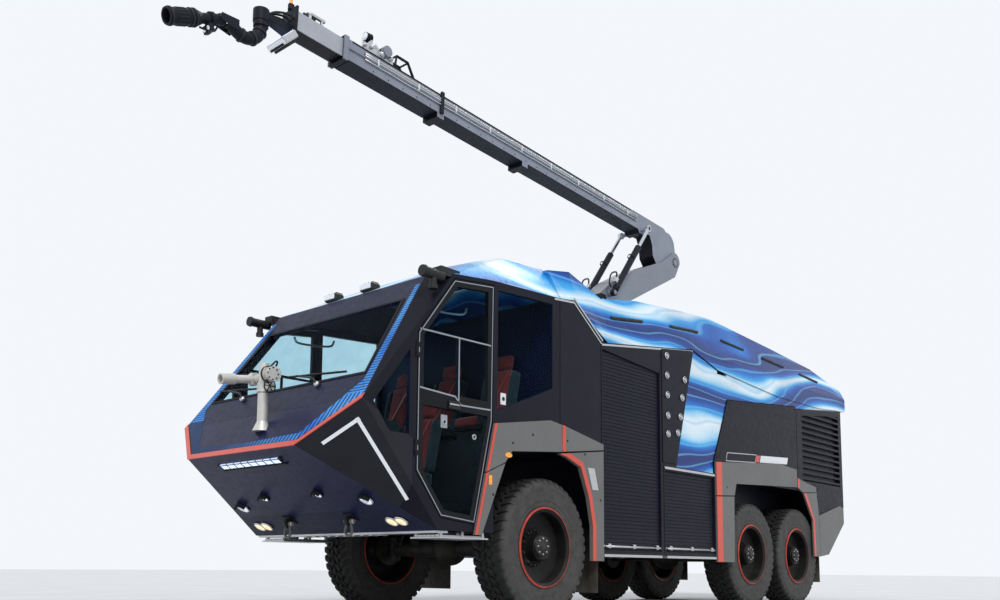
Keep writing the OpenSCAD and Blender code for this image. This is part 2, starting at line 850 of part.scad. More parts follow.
// Camera pods reach forward from the corners of the roof's edge
pod_x = [1620, 1865];
pod_y = 1436;
pod_z = 3325;
pod_r = 50;
module camera_pods() {
    color(black) place() difference() {
        both_sides() {
            block([1400, 1330, 3340], [1660, 1462, 3425]);
            translate([pod_x[0], pod_y, pod_z]) rotate([0, 90, 0])
                cylinder(r = pod_r, h = pod_x[1] - pod_x[0]);
            translate([pod_x[1], pod_y, pod_z]) rotate([0, 90, 0])
                cylinder(r1 = pod_r + 10, r2 = pod_r + 4, h = 28);
            translate([1740, pod_y, pod_z - 130]) cylinder(r = 34, h = 120);
            translate([1740, pod_y, pod_z - 150]) cylinder(r = 44, h = 40);
        }
        cab_form(0);
        roof_form(0);
    }
}

// Axles, springs and steering

module frame_rails() {
    color(black) place() {
        both_sides()
            block([-8000, rail_y - rail_w, rail_z], [rail_front_x, rail_y, rail_top]);
        for (x = cross_x)
            block([x, -rail_y + rail_w, rail_z + 40], [x + 90, rail_y - rail_w, rail_top - 40]);
    }
}

eye_h = 180;
module front_axle() {
    difference() {
        union() {
            rod_y(0, axle_z, axle_r, -pin_y + 100, pin_y - 100);
            translate([0, 0, axle_z]) sphere(r = 200);
            both_sides() block([-58, pin_y - 130, axle_z - 78], [58, pin_y - 20, axle_z + 78]);
            both_sides() translate([0, pin_y, axle_z - eye_h / 2]) cylinder(r = 68, h = eye_h);
        }
        both_sides() translate([0, pin_y, axle_z - 200]) cylinder(r = pin_r + run_gap, h = 400);
    }
}

module rear_axle() {
    rod_y(0, axle_z, axle_r, -1000, 1000);
    translate([0, 0, axle_z]) sphere(r = 230);
    both_sides() {
        rod_y(0, axle_z, 210, 1000, 1052);
        rod_y(0, axle_z, stub_r, 1040, wheel_y);
    }
}

module axles() {
    color(black) place() {
        front_axle();
        for (x = [axle2_x, axle3_x]) translate([x, 0, 0]) rear_axle();
    }
}

// A spring stands on a saddle on the axle tube, under a seat on the rail's side
spring_y = rail_y + 90;
module springs() {
    color(black) place() both_sides() for (x = [0, axle2_x, axle3_x]) translate([x, spring_y, 0]) {
        difference() {
            block([-85, -70, axle_z + 40], [85, 70, axle_z + axle_r + 20]);
            rod_y(0, axle_z, axle_r + run_gap, -100, 100);
        }
        translate([0, 0, axle_z + axle_r + 15]) cylinder(r = 60, h = rail_top - axle_z - axle_r - 30);
        block([-85, -90 + run_gap, rail_top - 25], [85, 75, rail_top]);
        block([-85, -90 + run_gap, rail_z + 60], [85, -66, rail_top]);
    }
}

module knuckle() {
    translate([0, pin_y, axle_z]) {
        difference() {
            union() {
                for (s = [-1, 1])
                    translate([0, 0, s * (eye_h / 2 + 27)]) translate([0, 0, -25]) cylinder(r = 75, h = 50);
                block([-75, 74, -eye_h / 2 - 52], [75, 110, eye_h / 2 + 52]);
                for (s = [-1, 1])
                    block([-75, 0, s * (eye_h / 2 + 27) - 25], [75, 80, s * (eye_h / 2 + 27) + 25]);
            }
            cylinder(r = 70, h = eye_h + 1, center = true);
        }
        cylinder(r = pin_r, h = eye_h + 104, center = true);
        rod_y(0, 0, stub_r, 100, wheel_y - pin_y);
        rod_y(0, 0, 200, 92, 130);
    }
}

module knuckle_left() {
    color(black) place() knuckle();
}

module knuckle_right() {
    color(black) place() mirror([0, 1, 0]) knuckle();
}

// Tyre section as [radius, distance from the wheel's centre plane]
tyre_half = [
    [rim_r + 0.2, 173], [rim_r + 40, 186], [590, tyre_w / 2], [680, tyre_w / 2 - 8],
    [tyre_r - 22, 195], [tyre_r, 160]
];
module tyre() {
    rotate_extrude($fn = 96)
        polygon(concat(tyre_half, [for (i = [len(tyre_half) - 1:-1:0]) [tyre_half[i].x, -tyre_half[i].y]]));
}

module rim() {
    difference() {
        rotate_extrude($fn = 96) polygon([
            [rim_r - 14, -182], [rim_r + 30, -206], [rim_r + 38, -200], [rim_r + 34, -190], [rim_r, -174],
            [rim_r, 174], [rim_r + 34, 190], [rim_r + 38, 200], [rim_r + 20, 210], [rim_r - 16, 186],
            [rim_r - 22, 60], [hub_r + 70, 20], [hub_r + 10, 30], [hub_r, 60], [hub_r, 150],
            [hub_r - 20, 172], [0, 172], [0, -60], [hub_r, -60], [hub_r + 60, -6], [rim_r - 30, 30]
        ]);
        translate([0, 0, -70]) cylinder(r = stub_r + run_gap, h = 71);
    }
    for (i = [0:9]) rotate(i * 36) translate([hub_r + 40, 0, 12]) cylinder(r = 16, h = 34);
}

// Wheel centres as [x, side]
module wheel_at(x, side) {
    translate([x, side * wheel_y, axle_z]) mirror([0, side < 0 ? 1 : 0, 0])
        rotate([-90, 0, 0]) children();
}

module tyre_at(x, side) {
    color(rubber) place() wheel_at(x, side) tyre();
}

module rim_at(x, side) {
    color(black) place() wheel_at(x, side) rim();
}

// Doors

module door() {
    difference() {
        side_plate(door_edge, side_y - door_t, side_y);
        for (p = [door_glass_upper, door_glass_lower])
            side_plate(p, side_y - door_t - 1, side_y + 1);
    }
    block([1398, side_y - 34, door_rail_z + door_rail_h - 1], [1422, side_y - 18, 2760]);
    block([door_edge[4].x + 20, side_y - 34, 2748], [door_edge[1].x - 50, side_y - 18, 2772]);
    door_hinges();
}

module door_glass() {
    for (p = [door_glass_upper, door_glass_lower])
        side_plate(inset(p, run_gap), side_y - 4 - glass_t, side_y - 4);
}

// Elevated boom

arm_angle = atan2(knuckle_z - foot_z, foot_x - knuckle_x);
arm_l = norm([knuckle_x - foot_x, knuckle_z - foot_z]);
ear_gap = 8;
ear_t = 25;
arm_in = boom_w / 2 + ear_gap;
arm_out = arm_in + ear_t;
cheek_t = 30;
cheek_gap = 6;

// Local frame of the lower arm: x runs from the foot to the knuckle, z is its upper side
module on_arm() {
    translate([foot_x, 0, foot_z]) mirror([1, 0, 0]) rotate([0, -arm_angle, 0]) children();
}

// Local frame of the upper boom: x runs forward from the knuckle
module on_boom() {
    translate([knuckle_x, 0, knuckle_z]) rotate([0, -boom_rise, 0]) children();
}

function arc(centre, r, from, to, steps) =
    [for (i = [0:steps]) let (a = from + (to - from) * i / steps) centre + r * [cos(a), sin(a)]];

// Lift cylinders, in the arm's and in the boom's own frame
lift_foot = [235, 55];
lift_eye = [942, 237];
lift_from = [foot_x, foot_z] + [
    -lift_foot.x * cos(arm_angle) + lift_foot.y * sin(arm_angle),
    lift_foot.x * sin(arm_angle) + lift_foot.y * cos(arm_angle)
];
lift_to = [knuckle_x, knuckle_z] + [
    lift_eye.x * cos(boom_rise) - lift_eye.y * sin(boom_rise),
    lift_eye.x * sin(boom_rise) + lift_eye.y * cos(boom_rise)
];
lift_l = norm(lift_to - lift_from);
lift_angle = atan2(lift_to.y - lift_from.y, lift_to.x - lift_from.x);
barrel_l = lift_l - 470;
eye_r = 52;
eye_pin_r = 32;
pin_end = lift_y - 31;
// Lower end of the rods in their barrels at rest
piston_z = 495;

// Local frame of a lift cylinder: z runs from its foot to its rod eye
module on_lift() {
    translate([lift_from.x, 0, lift_from.y]) rotate([0, 90 - lift_angle, 0]) children();
}

module turret() {
    foot_eye_r = 110;
    color(black) place() {
        translate([slew_x, 0, ring_z + run_gap]) cylinder(r = 330, h = 46 - run_gap);
        both_sides() difference() {
            side_plate([
                [slew_x + 230, ring_z + 46], [slew_x + 150, foot_z - 60], [foot_x + 60, foot_z + foot_eye_r],
                [foot_x - 60, foot_z + foot_eye_r], [foot_x - foot_eye_r, foot_z], [foot_x - 30, ring_z + 46]
            ], arm_out + cheek_gap, arm_out + cheek_gap + cheek_t);
            rod_y(foot_x, foot_z, pivot_r + run_gap, 0, 400);
        }
        block([slew_x + 20, -arm_out - cheek_gap - 1, ring_z + 46],
            [slew_x + 140, arm_out + cheek_gap + 1, foot_z - 90]);
    }
}

arm_box_l = arm_l - 660;
module lower_arm() {
    half = arm_h / 2;
    outline = concat(
        arc([0, 0], 120, 250, 110, 8), [[500, half], [arm_l - 1250, half], [arm_l - 360, 110]],
        arc([arm_l + 30, 20], 135, 110, -35, 8), [[arm_l - 110, -half - 15], [500, -half]]
    );
    color(grey) place() on_arm() {
        difference() {
            slab(outline, arm_out);
            slab([[arm_box_l, -600], [arm_l + 400, -600], [arm_l + 400, 600], [arm_box_l, 600]], arm_in);
            block([420, -arm_in, -half + 14], [arm_box_l + 1, arm_in, half - 14]);
            rod_y(arm_l, 0, pivot_r + run_gap, -400, 400);
        }
        rod_y(0, 0, pivot_r, -arm_out - cheek_gap - cheek_t, arm_out + cheek_gap + cheek_t);
        both_sides() {
            rod_y(lift_foot.x, lift_foot.y, eye_r, arm_out - 1, lift_y - 30);
            rod_y(lift_foot.x, lift_foot.y, eye_pin_r, arm_out - 1, lift_y + 32);
        }
    }
}

// A round bar from a to b
module bar(a, b, r) {
    d = b - a;
    translate(a) rotate([0, acos(d.z / norm(d)), atan2(d.y, d.x)]) cylinder(r = r, h = norm(d), $fn = 24);
}

// Gear on the boom's top face, x from its knuckle and z from that face: plate, camera drum on its
// stand, search lamp on a post, valve box and hose guard
gear_x = boom_l - 640;
gear_plate = [-60, 330, 14];
drum_at = [60, 95];
drum_r = 62;
lamp_post = [225, 14];
gear_lamp_r = 52;
valve_box = [-130, -20, 84];
guard_in = 40;
guard_h = 190;
guard_t = 22;
guard_foot = [-460, -110];
guard_top = [-330, -150];
guard_bar = 8;
module hose_guard(y) {
    foot = [guard_foot[0], -2];
    frame = [foot, [guard_top[0], guard_h], [guard_top[1], guard_h], [guard_foot[1], -2]];
    inside = [
        frame[0] + [30, 1], frame[1] + [12, -guard_t], frame[2] + [-6, -guard_t], frame[3] + [-30, 1]
    ];
    both_sides() translate([gear_x, y, 0]) rotate([90, 0, 0]) linear_extrude(guard_t) difference() {
        polygon(frame);
        polygon(inside);
    }
    for (v = guard_top) translate([gear_x + v, 0, guard_h])
        block([-guard_bar, 2 - y, -20], [guard_bar, y - 2, -4]);
}
module boom_gear(w) {
    post = gear_x + lamp_post[0];
    block([gear_x + gear_plate[0], -90, -1], [gear_x + gear_plate[1], 90, gear_plate[2]]);
    block([post - 15, -60, gear_plate[2] - 1], [post + 15, 60, 130]);
    bar([post, 0, 120], [post, 0, 230], lamp_post[1]);
    bar([post - 40, 0, 250], [post + 37, 0, 240], gear_lamp_r);
    rod_y(gear_x + drum_at.x, drum_at.y, drum_r, -150, 176);
    block([gear_x + 20, -60, gear_plate[2] - 1], [gear_x + 100, 60, drum_at.y]);
    block([gear_x + valve_box[0], -80, -1], [gear_x + valve_box[1], 60, valve_box[2]]);
    hose_guard(w - guard_in);
}
module upper_boom() {
    low = boom_off;
    top = boom_off + boom_h;
    w = boom_w / 2;
    hood = concat(
        [[1170, low - 1], [1170, top + 10], [300, top + 10]], arc([170, top - 230], 205, 75, 160, 8),
        [[-85, 60], [-70, -110], [-20, -215], [110, -215], [470, -190], [600, -60], [625, 110],
            [700, low]]
    );
    color(dark) place() on_boom() {
        difference() {
            union() {
                slab(hood, w);
                block([900, -w, low], [boom_l, w, top]);
            }
            block([620, -w + boom_wall, low + boom_wall], [boom_l + 1, w - boom_wall, top - boom_wall]);
        }
        rod_y(0, 0, pivot_r, -arm_out - 12, arm_out + 12);
        slab([[lift_eye.x - 90, low + 1], [lift_eye.x + 90, low + 1], [lift_eye.x + 50, lift_eye.y - 45],
            [lift_eye.x - 50, lift_eye.y - 45]], w);
        both_sides() rod_y(lift_eye.x, lift_eye.y, eye_pin_r, w - 1, pin_end);
        // Side channel that carries the hoses along the boom
        both_sides() block([1150, w - 0.1, low + 125], [boom_l - 40, w + 18, low + 135]);
        for (x = [3680, 5250]) block([x, -w, low - 60], [x + 110, w, low + 1]);
        block([boom_l - 60, -w - 16, low - 18], [boom_l, w + 16, low + 1]);
        both_sides() block([boom_l - 60, w - 1, low - 18], [boom_l, w + 16, top + 16]);
        block([boom_l - 60, -w - 16, top - 1], [boom_l, w + 16, top + 16]);
        translate([0, 0, top]) boom_gear(w);
    }
}

module inner_boom() {
    w = boom_w / 2 - boom_wall - slide_gap;
    low = boom_off + boom_wall + slide_gap;
    top = boom_off + boom_h - boom_wall - slide_gap;
    color(black) place() on_boom() difference() {
        block([700, -w, low], [boom_l + inner_out, w, top]);
        block([690, -w + 10, low + 10], [boom_l + inner_out - 12, w - 10, top - 10]);
    }
    // Wear pads at the rear end fill the gap to the outer section
    pad = slide_gap - run_gap;
    color(black) place() on_boom() {
        for (z = [[low - pad, low + 1], [top - 1, top + pad]]) block([700, -60, z[0]], [780, 60, z[1]]);
        both_sides() block([700, w - 1, low + 50], [780, w + pad, top - 50]);
    }
}

// Gear at the boom's front end: guard, bracket, pipe to the monitor and lamps
boom_end = boom_l + inner_out;
swivel_x = tip_x - 2 * bend_r - 70;
swivel_z = 5970;
module boom_head() {
    w = boom_w / 2 - boom_wall - slide_gap;
    low = boom_off + boom_wall + slide_gap;
    high = boom_off + boom_h - boom_wall - slide_gap;
    color(black) place() {
        on_boom() {
            block([boom_end, -w - 20, low - 60], [boom_end + 22, w + 20, low + 250]);
            slab([[boom_end - 40, low - 60], [boom_end + 130, low - 250], [boom_end + 150, low - 238],
                [boom_end + 22, low - 50]], w);
            slab([[boom_end + 20, low + 60], [boom_end + 300, low + 40], [boom_end + 300, low - 10],
                [boom_end + 20, low - 60]], 50);
            translate([boom_end + 10, 0, low + 250]) cylinder(r = 34, h = 60);
            block([boom_end - 290, -40, high], [boom_end - 170, 40, high + 46]);
        }
        difference() {
            translate([swivel_x, 0, swivel_z + 5]) cylinder(r = pipe_r + 20, h = 125);
            translate([swivel_x, 0, swivel_z]) cylinder(r = 30 + run_gap, h = 60);
        }
    }
}

module lift_barrels() {
    color(black) place() on_lift() both_sides() translate([0, lift_y, 0]) {
        difference() {
            union() {
                translate([0, 0, 62]) cylinder(r = barrel_r, h = barrel_l - 62);
                rod_y(0, 0, eye_r, -25, 25);
                block([-34, -24, 20], [34, 24, 70]);
            }
            translate([0, 0, 75]) cylinder(r = barrel_r - 9, h = barrel_l - 120);
            translate([0, 0, 100]) cylinder(r = rod_r + 1, h = barrel_l);
            rod_y(0, 0, eye_pin_r + run_gap, -40, 40);
        }
    }
}

module lift_rods() {
    color(silver) place() on_lift() both_sides() translate([0, lift_y, 0]) {
        translate([0, 0, piston_z]) cylinder(r = rod_r, h = lift_l - piston_z - eye_r + 8);
        translate([0, 0, piston_z]) cylinder(r = barrel_r - 10, h = 40);
        translate([0, 0, lift_l]) difference() {
            rod_y(0, 0, eye_r, -25, 25);
            rod_y(0, 0, eye_pin_r, -40, 40);
        }
    }
}

// Tip monitor: an elbow that turns about its swivel, and a nozzle hinged on its end

elbow_end = -38;
module tip_elbow() {
    color(black) place() {
        translate([swivel_x, 0, swivel_z - 50]) {
            cylinder(r = pipe_r + 14, h = 50);
            cylinder(r = 30, h = 105);
        }
        translate([swivel_x + bend_r, 0, swivel_z - 50]) rotate([90, 0, 0]) rotate([0, 0, 180])
            rotate_extrude(angle = 180 + elbow_end) translate([bend_r, 0]) circle(r = pipe_r);
        both_sides() difference() {
            side_plate([
                [tip_x - 150, tip_z - 70], [tip_x - 160, tip_z + 40], [tip_x + 32, tip_z + 34],
                [tip_x + 32, tip_z - 34]
            ], 66, 78);
            rod_y(tip_x, tip_z, 20 + run_gap, 60, 80);
        }
        translate([tip_x - 160, -78, tip_z - 60]) cube([50, 156, 95]);
    }
}

module tip_nozzle() {
    color(black) place() translate([tip_x, 0, tip_z]) rotate([0, 90 + tip_droop, 0]) {
        sphere(r = 58);
        rod_y(0, 0, 20, -78, 78);
        cylinder(r = 50, h = 230);
        translate([0, 0, 90]) cylinder(r = 66, h = 40);
        for (y = [-62, 6]) block([62, y, 150], [134, y + 56, 196]);
        block([40, -20, 156], [64, 20, 186]);
        block([60, -60, 158], [80, 60, 184]);
        translate([0, 0, 229]) cylinder(r1 = 55, r2 = mouth_r, h = 61);
        difference() {
            translate([0, 0, 289]) cylinder(r = mouth_r, h = tip_l - 289);
            translate([0, 0, 380]) cylinder(r = mouth_r - 16, h = tip_l);
        }
    }
}

// Bumper monitor on the windscreen's lower mask
monitor_foot_z = 1860;
monitor_x = nose_x - (monitor_foot_z - nose_z) * screen_run / screen_rise + 30;
monitor_top = 2170;
arm_z = 150;
module monitor_base() {
    color(silver) place() difference() {
        union() {
            translate([monitor_x, monitor_y, monitor_foot_z - 60])
                cylinder(r1 = 92, r2 = 50, h = 95);
            translate([monitor_x, monitor_y, monitor_foot_z - 60])
                cylinder(r = 50, h = monitor_top - monitor_foot_z + 60);
        }
        on_screen() translate([-500, -500, -run_gap]) cube([1500, 1500, 500]);
        translate([monitor_x, monitor_y, monitor_top - 60]) cylinder(r = 30 + run_gap, h = 70);
    }
}

module monitor_head() {
    color(silver) place() translate([monitor_x, monitor_y, monitor_top + 5]) {
        translate([0, 0, -60]) cylinder(r = 30, h = 70);
        cylinder(r = 60, h = 90);
        translate([0, 0, 85]) cylinder(r = 48, h = 195);
        rod_y(0, arm_z + 10, 58, 40, 88);
        rod_y(0, arm_z + 10, 74, 86, 178);
        rod_y(0, 46, 36, 40, 130);
        difference() {
            rod_y(0, arm_z, 40, -122, 0);
            rod_y(0, arm_z, 20 + run_gap, -130, -60);
        }
    }
}

module monitor_nozzle() {
    color(silver) place() translate([monitor_x, monitor_y, monitor_top + 5 + arm_z]) {
        rod_y(0, 0, 62, -200, -127);
        rod_y(0, 0, 20, -130, -65);
        translate([0, -163, 0]) rotate([0, 98, 0]) {
            cylinder(r = 40, h = 230);
            difference() {
                translate([0, 0, 220]) cylinder(r = 52, h = 150);
                translate([0, 0, 300]) cylinder(r = 38, h = 80);
            }
        }
    }
}

// Base ring of the turret, on the roof
module turret_base() {
    color(black) place() translate([slew_x, 0, crown_z + 0.2]) cylinder(r = 370, h = ring_z - crown_z - 0.2);
}

module door_left() {
    color(dark) place() door();
}

module door_right() {
    color(dark) place() mirror([0, 1, 0]) door();
}

module door_glass_left() {
    color(smoke) place() door_glass();
}

module door_glass_right() {
    color(smoke) place() mirror([0, 1, 0]) door_glass();
}

frame_rails();
axles();
springs();
engine_block();
cab_floor();
cab_shell();
nose_panel();
cab_roof();
windscreen();
side_windows();
seats();
dashboard();
nose_trim();
front_lamps();
cab_steps();
tow_lugs();
front_fenders();
rear_fenders();
fender_trim();
body_core();
side_panels();
shutters();
button_panels();
louvre_panels();
body_upper();
sill_rails();
roof_handles();
mud_flaps();
camera_pods();
monitor_base();
turret_base();
knuckle_left();
knuckle_right();
tyre_at(0, 1);  // tyre_fl
rim_at(0, 1);  // rim_fl
tyre_at(0, -1);  // tyre_fr
rim_at(0, -1);  // rim_fr
tyre_at(axle2_x, 1);  // tyre_ml
rim_at(axle2_x, 1);  // rim_ml
tyre_at(axle2_x, -1);  // tyre_mr
rim_at(axle2_x, -1);  // rim_mr
tyre_at(axle3_x, 1);  // tyre_rl
rim_at(axle3_x, 1);  // rim_rl
tyre_at(axle3_x, -1);  // tyre_rr
rim_at(axle3_x, -1);  // rim_rr
door_left();
door_glass_left();
door_right();
door_glass_right();
turret();
lower_arm();
upper_boom();
inner_boom();
boom_head();
lift_barrels();
lift_rods();
tip_elbow();
tip_nozzle();
monitor_head();
monitor_nozzle();
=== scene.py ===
"""Looks of a six-wheel airport fire truck with a folding water boom.

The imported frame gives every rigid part. This script adds the finishes, the tyre tread,
the upholstery, the glass and lamp details, seals, hoses, wipers and other small trim.
Lengths are in metres. at(x, y, z) takes x from the front axle, as the frame's source does.
"""

import itertools
import math

import bmesh
import bpy
from mathutils import Matrix, Vector
from mathutils.bvhtree import BVHTree


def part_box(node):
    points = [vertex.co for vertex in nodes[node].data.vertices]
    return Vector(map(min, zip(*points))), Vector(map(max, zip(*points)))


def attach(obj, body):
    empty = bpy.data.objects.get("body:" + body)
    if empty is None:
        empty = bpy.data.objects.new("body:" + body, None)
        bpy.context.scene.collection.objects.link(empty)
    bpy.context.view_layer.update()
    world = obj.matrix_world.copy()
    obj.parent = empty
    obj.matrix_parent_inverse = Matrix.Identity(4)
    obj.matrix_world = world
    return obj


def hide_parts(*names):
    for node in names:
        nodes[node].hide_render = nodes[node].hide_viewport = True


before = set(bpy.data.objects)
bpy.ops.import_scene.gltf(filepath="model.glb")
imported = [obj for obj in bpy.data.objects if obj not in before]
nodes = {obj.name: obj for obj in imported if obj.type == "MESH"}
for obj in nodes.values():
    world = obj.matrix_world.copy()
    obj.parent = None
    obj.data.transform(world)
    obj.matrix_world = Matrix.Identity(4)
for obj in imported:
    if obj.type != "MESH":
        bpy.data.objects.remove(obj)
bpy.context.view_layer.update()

TAU = 2 * math.pi
tyre_low, tyre_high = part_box("tyre_fl")
FRONT_X = (tyre_low.x + tyre_high.x) / 2
TYRE_R = (tyre_high.z - tyre_low.z) / 2
WHEELS = ("fl", "fr", "ml", "mr", "rl", "rr")
SIDES = (-1, 1)
# Distance of the side walls from the middle
SIDE_Y = 1.470


def at(x, y, z):
    """A point given from the front axle, in the frame."""
    return Vector((FRONT_X + x, y, z))


def vec(x, y, z):
    return Vector((x, y, z))


def lerp(a, b, t):
    return a + (b - a) * t


def turned(angle, radius):
    """A way in the upright plane along the truck, at an angle in radians."""
    return Vector((math.cos(angle), 0, math.sin(angle))) * radius


def flank(side):
    """A side's own at(), with y counted from the middle, and the way out of that side."""
    return (lambda x, y, z: at(x, y * side, z)), vec(0, side, 0)


# ---------------------------------------------------------------- camera, light and floor

CAMERA_AT = at(7.758, 7.638, 0.529)
CAMERA_YAW = math.radians(41.53)
CAMERA_PITCH = math.radians(6.75)
CAMERA_ROLL = math.radians(0.42)
CAMERA_SHIFT = 0.15795
FOCAL_PX = 925.7
FRAME_W = 1000
SENSOR = 36.0
CLIP_END = 500


def make_camera():
    flat = math.cos(CAMERA_PITCH)
    look = vec(-math.cos(CAMERA_YAW) * flat, -math.sin(CAMERA_YAW) * flat, math.sin(CAMERA_PITCH))
    side = vec(-math.sin(CAMERA_YAW), math.cos(CAMERA_YAW), 0)
    up = (-look).cross(side)
    right = side * math.cos(CAMERA_ROLL) + up * math.sin(CAMERA_ROLL)
    top = (-look).cross(right)
    data = bpy.data.cameras.new("camera")
    data.sensor_width = SENSOR
    data.lens = FOCAL_PX / FRAME_W * SENSOR
    data.shift_y = CAMERA_SHIFT
    data.clip_end = CLIP_END
    camera = bpy.data.objects.new("camera", data)
    bpy.context.scene.collection.objects.link(camera)
    turn = Matrix((right, top, -look)).transposed()
    camera.matrix_world = Matrix.Translation(CAMERA_AT) @ turn.to_4x4()
    bpy.context.scene.camera = camera


# Name, strength, angular size in degrees, and the way it shines
SUNS = (("key", 1.5, 14, (-0.55, -0.75, -0.9)), ("rim", 0.9, 20, (0.9, 0.35, -0.8)))
WORLD_COLOR = (0.93, 0.96, 1.0, 1)
WORLD_LIGHT = 0.62
WORLD_WHITE = 0.97


def make_lamps():
    for name, power, angle, direction in SUNS:
        data = bpy.data.lights.new(name, "SUN")
        data.energy = power
        data.angle = math.radians(angle)
        lamp = bpy.data.objects.new(name, data)
        lamp.rotation_euler = Vector(direction).to_track_quat("-Z", "Y").to_euler()
        bpy.context.scene.collection.objects.link(lamp)


def fill(tree, node, inputs):
    """Sets a node's inputs, by a link where the value is a socket."""
    for key, value in inputs.items():
        if isinstance(value, bpy.types.NodeSocket):
            tree.links.new(value, node.inputs[key])
        else:
            node.inputs[key].default_value = value
    return node


def new_node(tree, kind, inputs=None, **props):
    node = tree.nodes.new("ShaderNode" + kind)
    for key, value in props.items():
        setattr(node, key, value)
    return fill(tree, node, inputs or {})


def make_world():
    """Even pale light, brighter where it is seen straight, in gloss or through glass."""
    world = bpy.data.worlds.new("world")
    bpy.context.scene.world = world
    world.use_nodes = True
    tree = world.node_tree
    tree.nodes.clear()
    rays = new_node(tree, "LightPath").outputs
    seen = rays["Is Camera Ray"]
    for ray in ("Is Glossy Ray", "Is Transmission Ray"):
        seen = new_node(tree, "Math", {0: seen, 1: rays[ray]}, operation="MAXIMUM").outputs[0]
    light, white = (new_node(tree, "Background", {"Color": WORLD_COLOR, "Strength": strength}).outputs[0]
                    for strength in (WORLD_LIGHT, WORLD_WHITE))
    both = new_node(tree, "MixShader", {0: seen, 1: light, 2: white})
    new_node(tree, "OutputWorld", {0: both.outputs[0]})


# ---------------------------------------------------------------- materials


def srgb(r, g, b):
    """A colour written as screen values from 0 to 255."""
    def one(v):
        v /= 255
        return v / 12.92 if v <= 0.04045 else ((v + 0.055) / 1.055) ** 2.4
    return (one(r), one(g), one(b))


def shade(color, k):
    return tuple(min(1.0, c * k) for c in color)


class Shader:
    """A material under construction round one Principled shader."""

    def __init__(self, name):
        self.mat = bpy.data.materials.new(name)
        self.mat.use_nodes = True
        self.tree = self.mat.node_tree
        self.tree.nodes.clear()
        self.bsdf = self.node("BsdfPrincipled")
        self.out = self.node("OutputMaterial", {0: self.bsdf.outputs[0]})
        coords = self.node("TexCoord").outputs
        self.coord, self.normal = coords["Object"], coords["Normal"]

    def node(self, kind, inputs=None, **props):
        return new_node(self.tree, kind, inputs, **props)

    def put(self, inputs):
        fill(self.tree, self.bsdf, inputs)

    def math(self, op, a, b=0.0):
        return self.node("Math", {0: a, 1: b}, operation=op).outputs[0]

    def noise(self, scale, detail=4.0, rough=0.55):
        return self.node("TexNoise", {"Vector": self.coord, "Scale": scale, "Detail": detail,
                                      "Roughness": rough}).outputs["Fac"]

    def span(self, value, low, high, to_low=0.0, to_high=1.0):
        return self.node("MapRange", {"Value": value, "From Min": low, "From Max": high,
                                      "To Min": to_low, "To Max": to_high}).outputs["Result"]

    def mix(self, factor, a, b):
        a, b = (c if isinstance(c, bpy.types.NodeSocket) else (*c, 1) for c in (a, b))
        return self.node("Mix", {0: factor, 6: a, 7: b}, data_type="RGBA").outputs[2]

    def patches(self, a, b, scale, detail=4.0, rough=0.55, low=0.3):
        """Two colours in soft patches."""
        return self.mix(self.span(self.noise(scale, detail, rough), low, 0.7), a, b)

    def uneven(self, color, darkest, lightest, scale, detail=4.0, rough=0.55, low=0.3):
        """One colour between two shares of its lightness."""
        return self.patches(shade(color, darkest), shade(color, lightest), scale, detail, rough, low)

    def xyz(self, vector=None):
        return self.node("SeparateXYZ", {0: vector or self.coord}).outputs

    def radius(self, centre_x=0.0, centre_z=0.0):
        """Distance from an axis that runs across the truck."""
        x = self.xyz()
        dx, dz = self.math("SUBTRACT", x[0], centre_x), self.math("SUBTRACT", x[2], centre_z)
        squares = (self.math("MULTIPLY", d, d) for d in (dx, dz))
        return self.math("SQRT", self.math("ADD", *squares))

    def ramp(self, value, stops, kind="LINEAR"):
        ramp = self.node("ValToRGB", {0: value})
        ramp.color_ramp.interpolation = kind
        while len(ramp.color_ramp.elements) < len(stops):
            ramp.color_ramp.elements.new(0.5)
        for element, (place, color) in zip(ramp.color_ramp.elements, stops):
            element.position = place
            element.color = (*srgb(*color), 1)
        return ramp.outputs[0]

    def relief(self, height, strength, distance, edge=0.0):
        """Fine bumps by height, with edges softened over a radius."""
        bump = self.node("Bump", {"Strength": strength, "Distance": distance, "Height": height})
        if edge:
            soft = self.node("Bevel", {"Radius": edge}, samples=4)
            fill(self.tree, bump, {"Normal": soft.outputs[0]})
        self.put({"Normal": bump.outputs[0]})


DUST = srgb(150, 142, 128)
DUST_FROM, DUST_TO = 0.25, 1.1
GLOSS_VARY = 0.07


def finish(name, color, rough, metallic=0.0, coat=0.0, ior=1.45, vary=0.12, grain=0.15, grain_scale=90.0,
           dust=0.0, edge=0.004):
    """A paint, plastic, rubber or metal with uneven colour, uneven gloss, grain, soft edges and dust.

    color is a triple of screen values, or a function of the shader that gives a socket."""
    s = Shader(name)
    base = color(s) if callable(color) else s.uneven(srgb(*color), 1 - vary, 1 + vary, 2.2, 6, 0.6)
    if dust:
        height = s.span(s.xyz()[2], DUST_FROM, DUST_TO, 1.0, 0.0)
        spots = s.span(s.noise(5.5, 8, 0.7), 0.35, 0.75, 0.25, 1.0)
        base = s.mix(s.math("MULTIPLY", s.math("MULTIPLY", height, spots), dust), base, DUST)
    gloss = s.span(s.noise(15.4, 5, 0.65), 0.3, 0.7, max(0.02, rough - GLOSS_VARY), rough + GLOSS_VARY)
    s.put({"Base Color": base, "Roughness": gloss, "Metallic": metallic, "IOR": ior})
    if coat:
        s.put({"Coat Weight": coat, "Coat Roughness": 0.06})
    s.relief(s.noise(grain_scale, 3, 0.5), grain, 0.002, edge)
    return s.mat


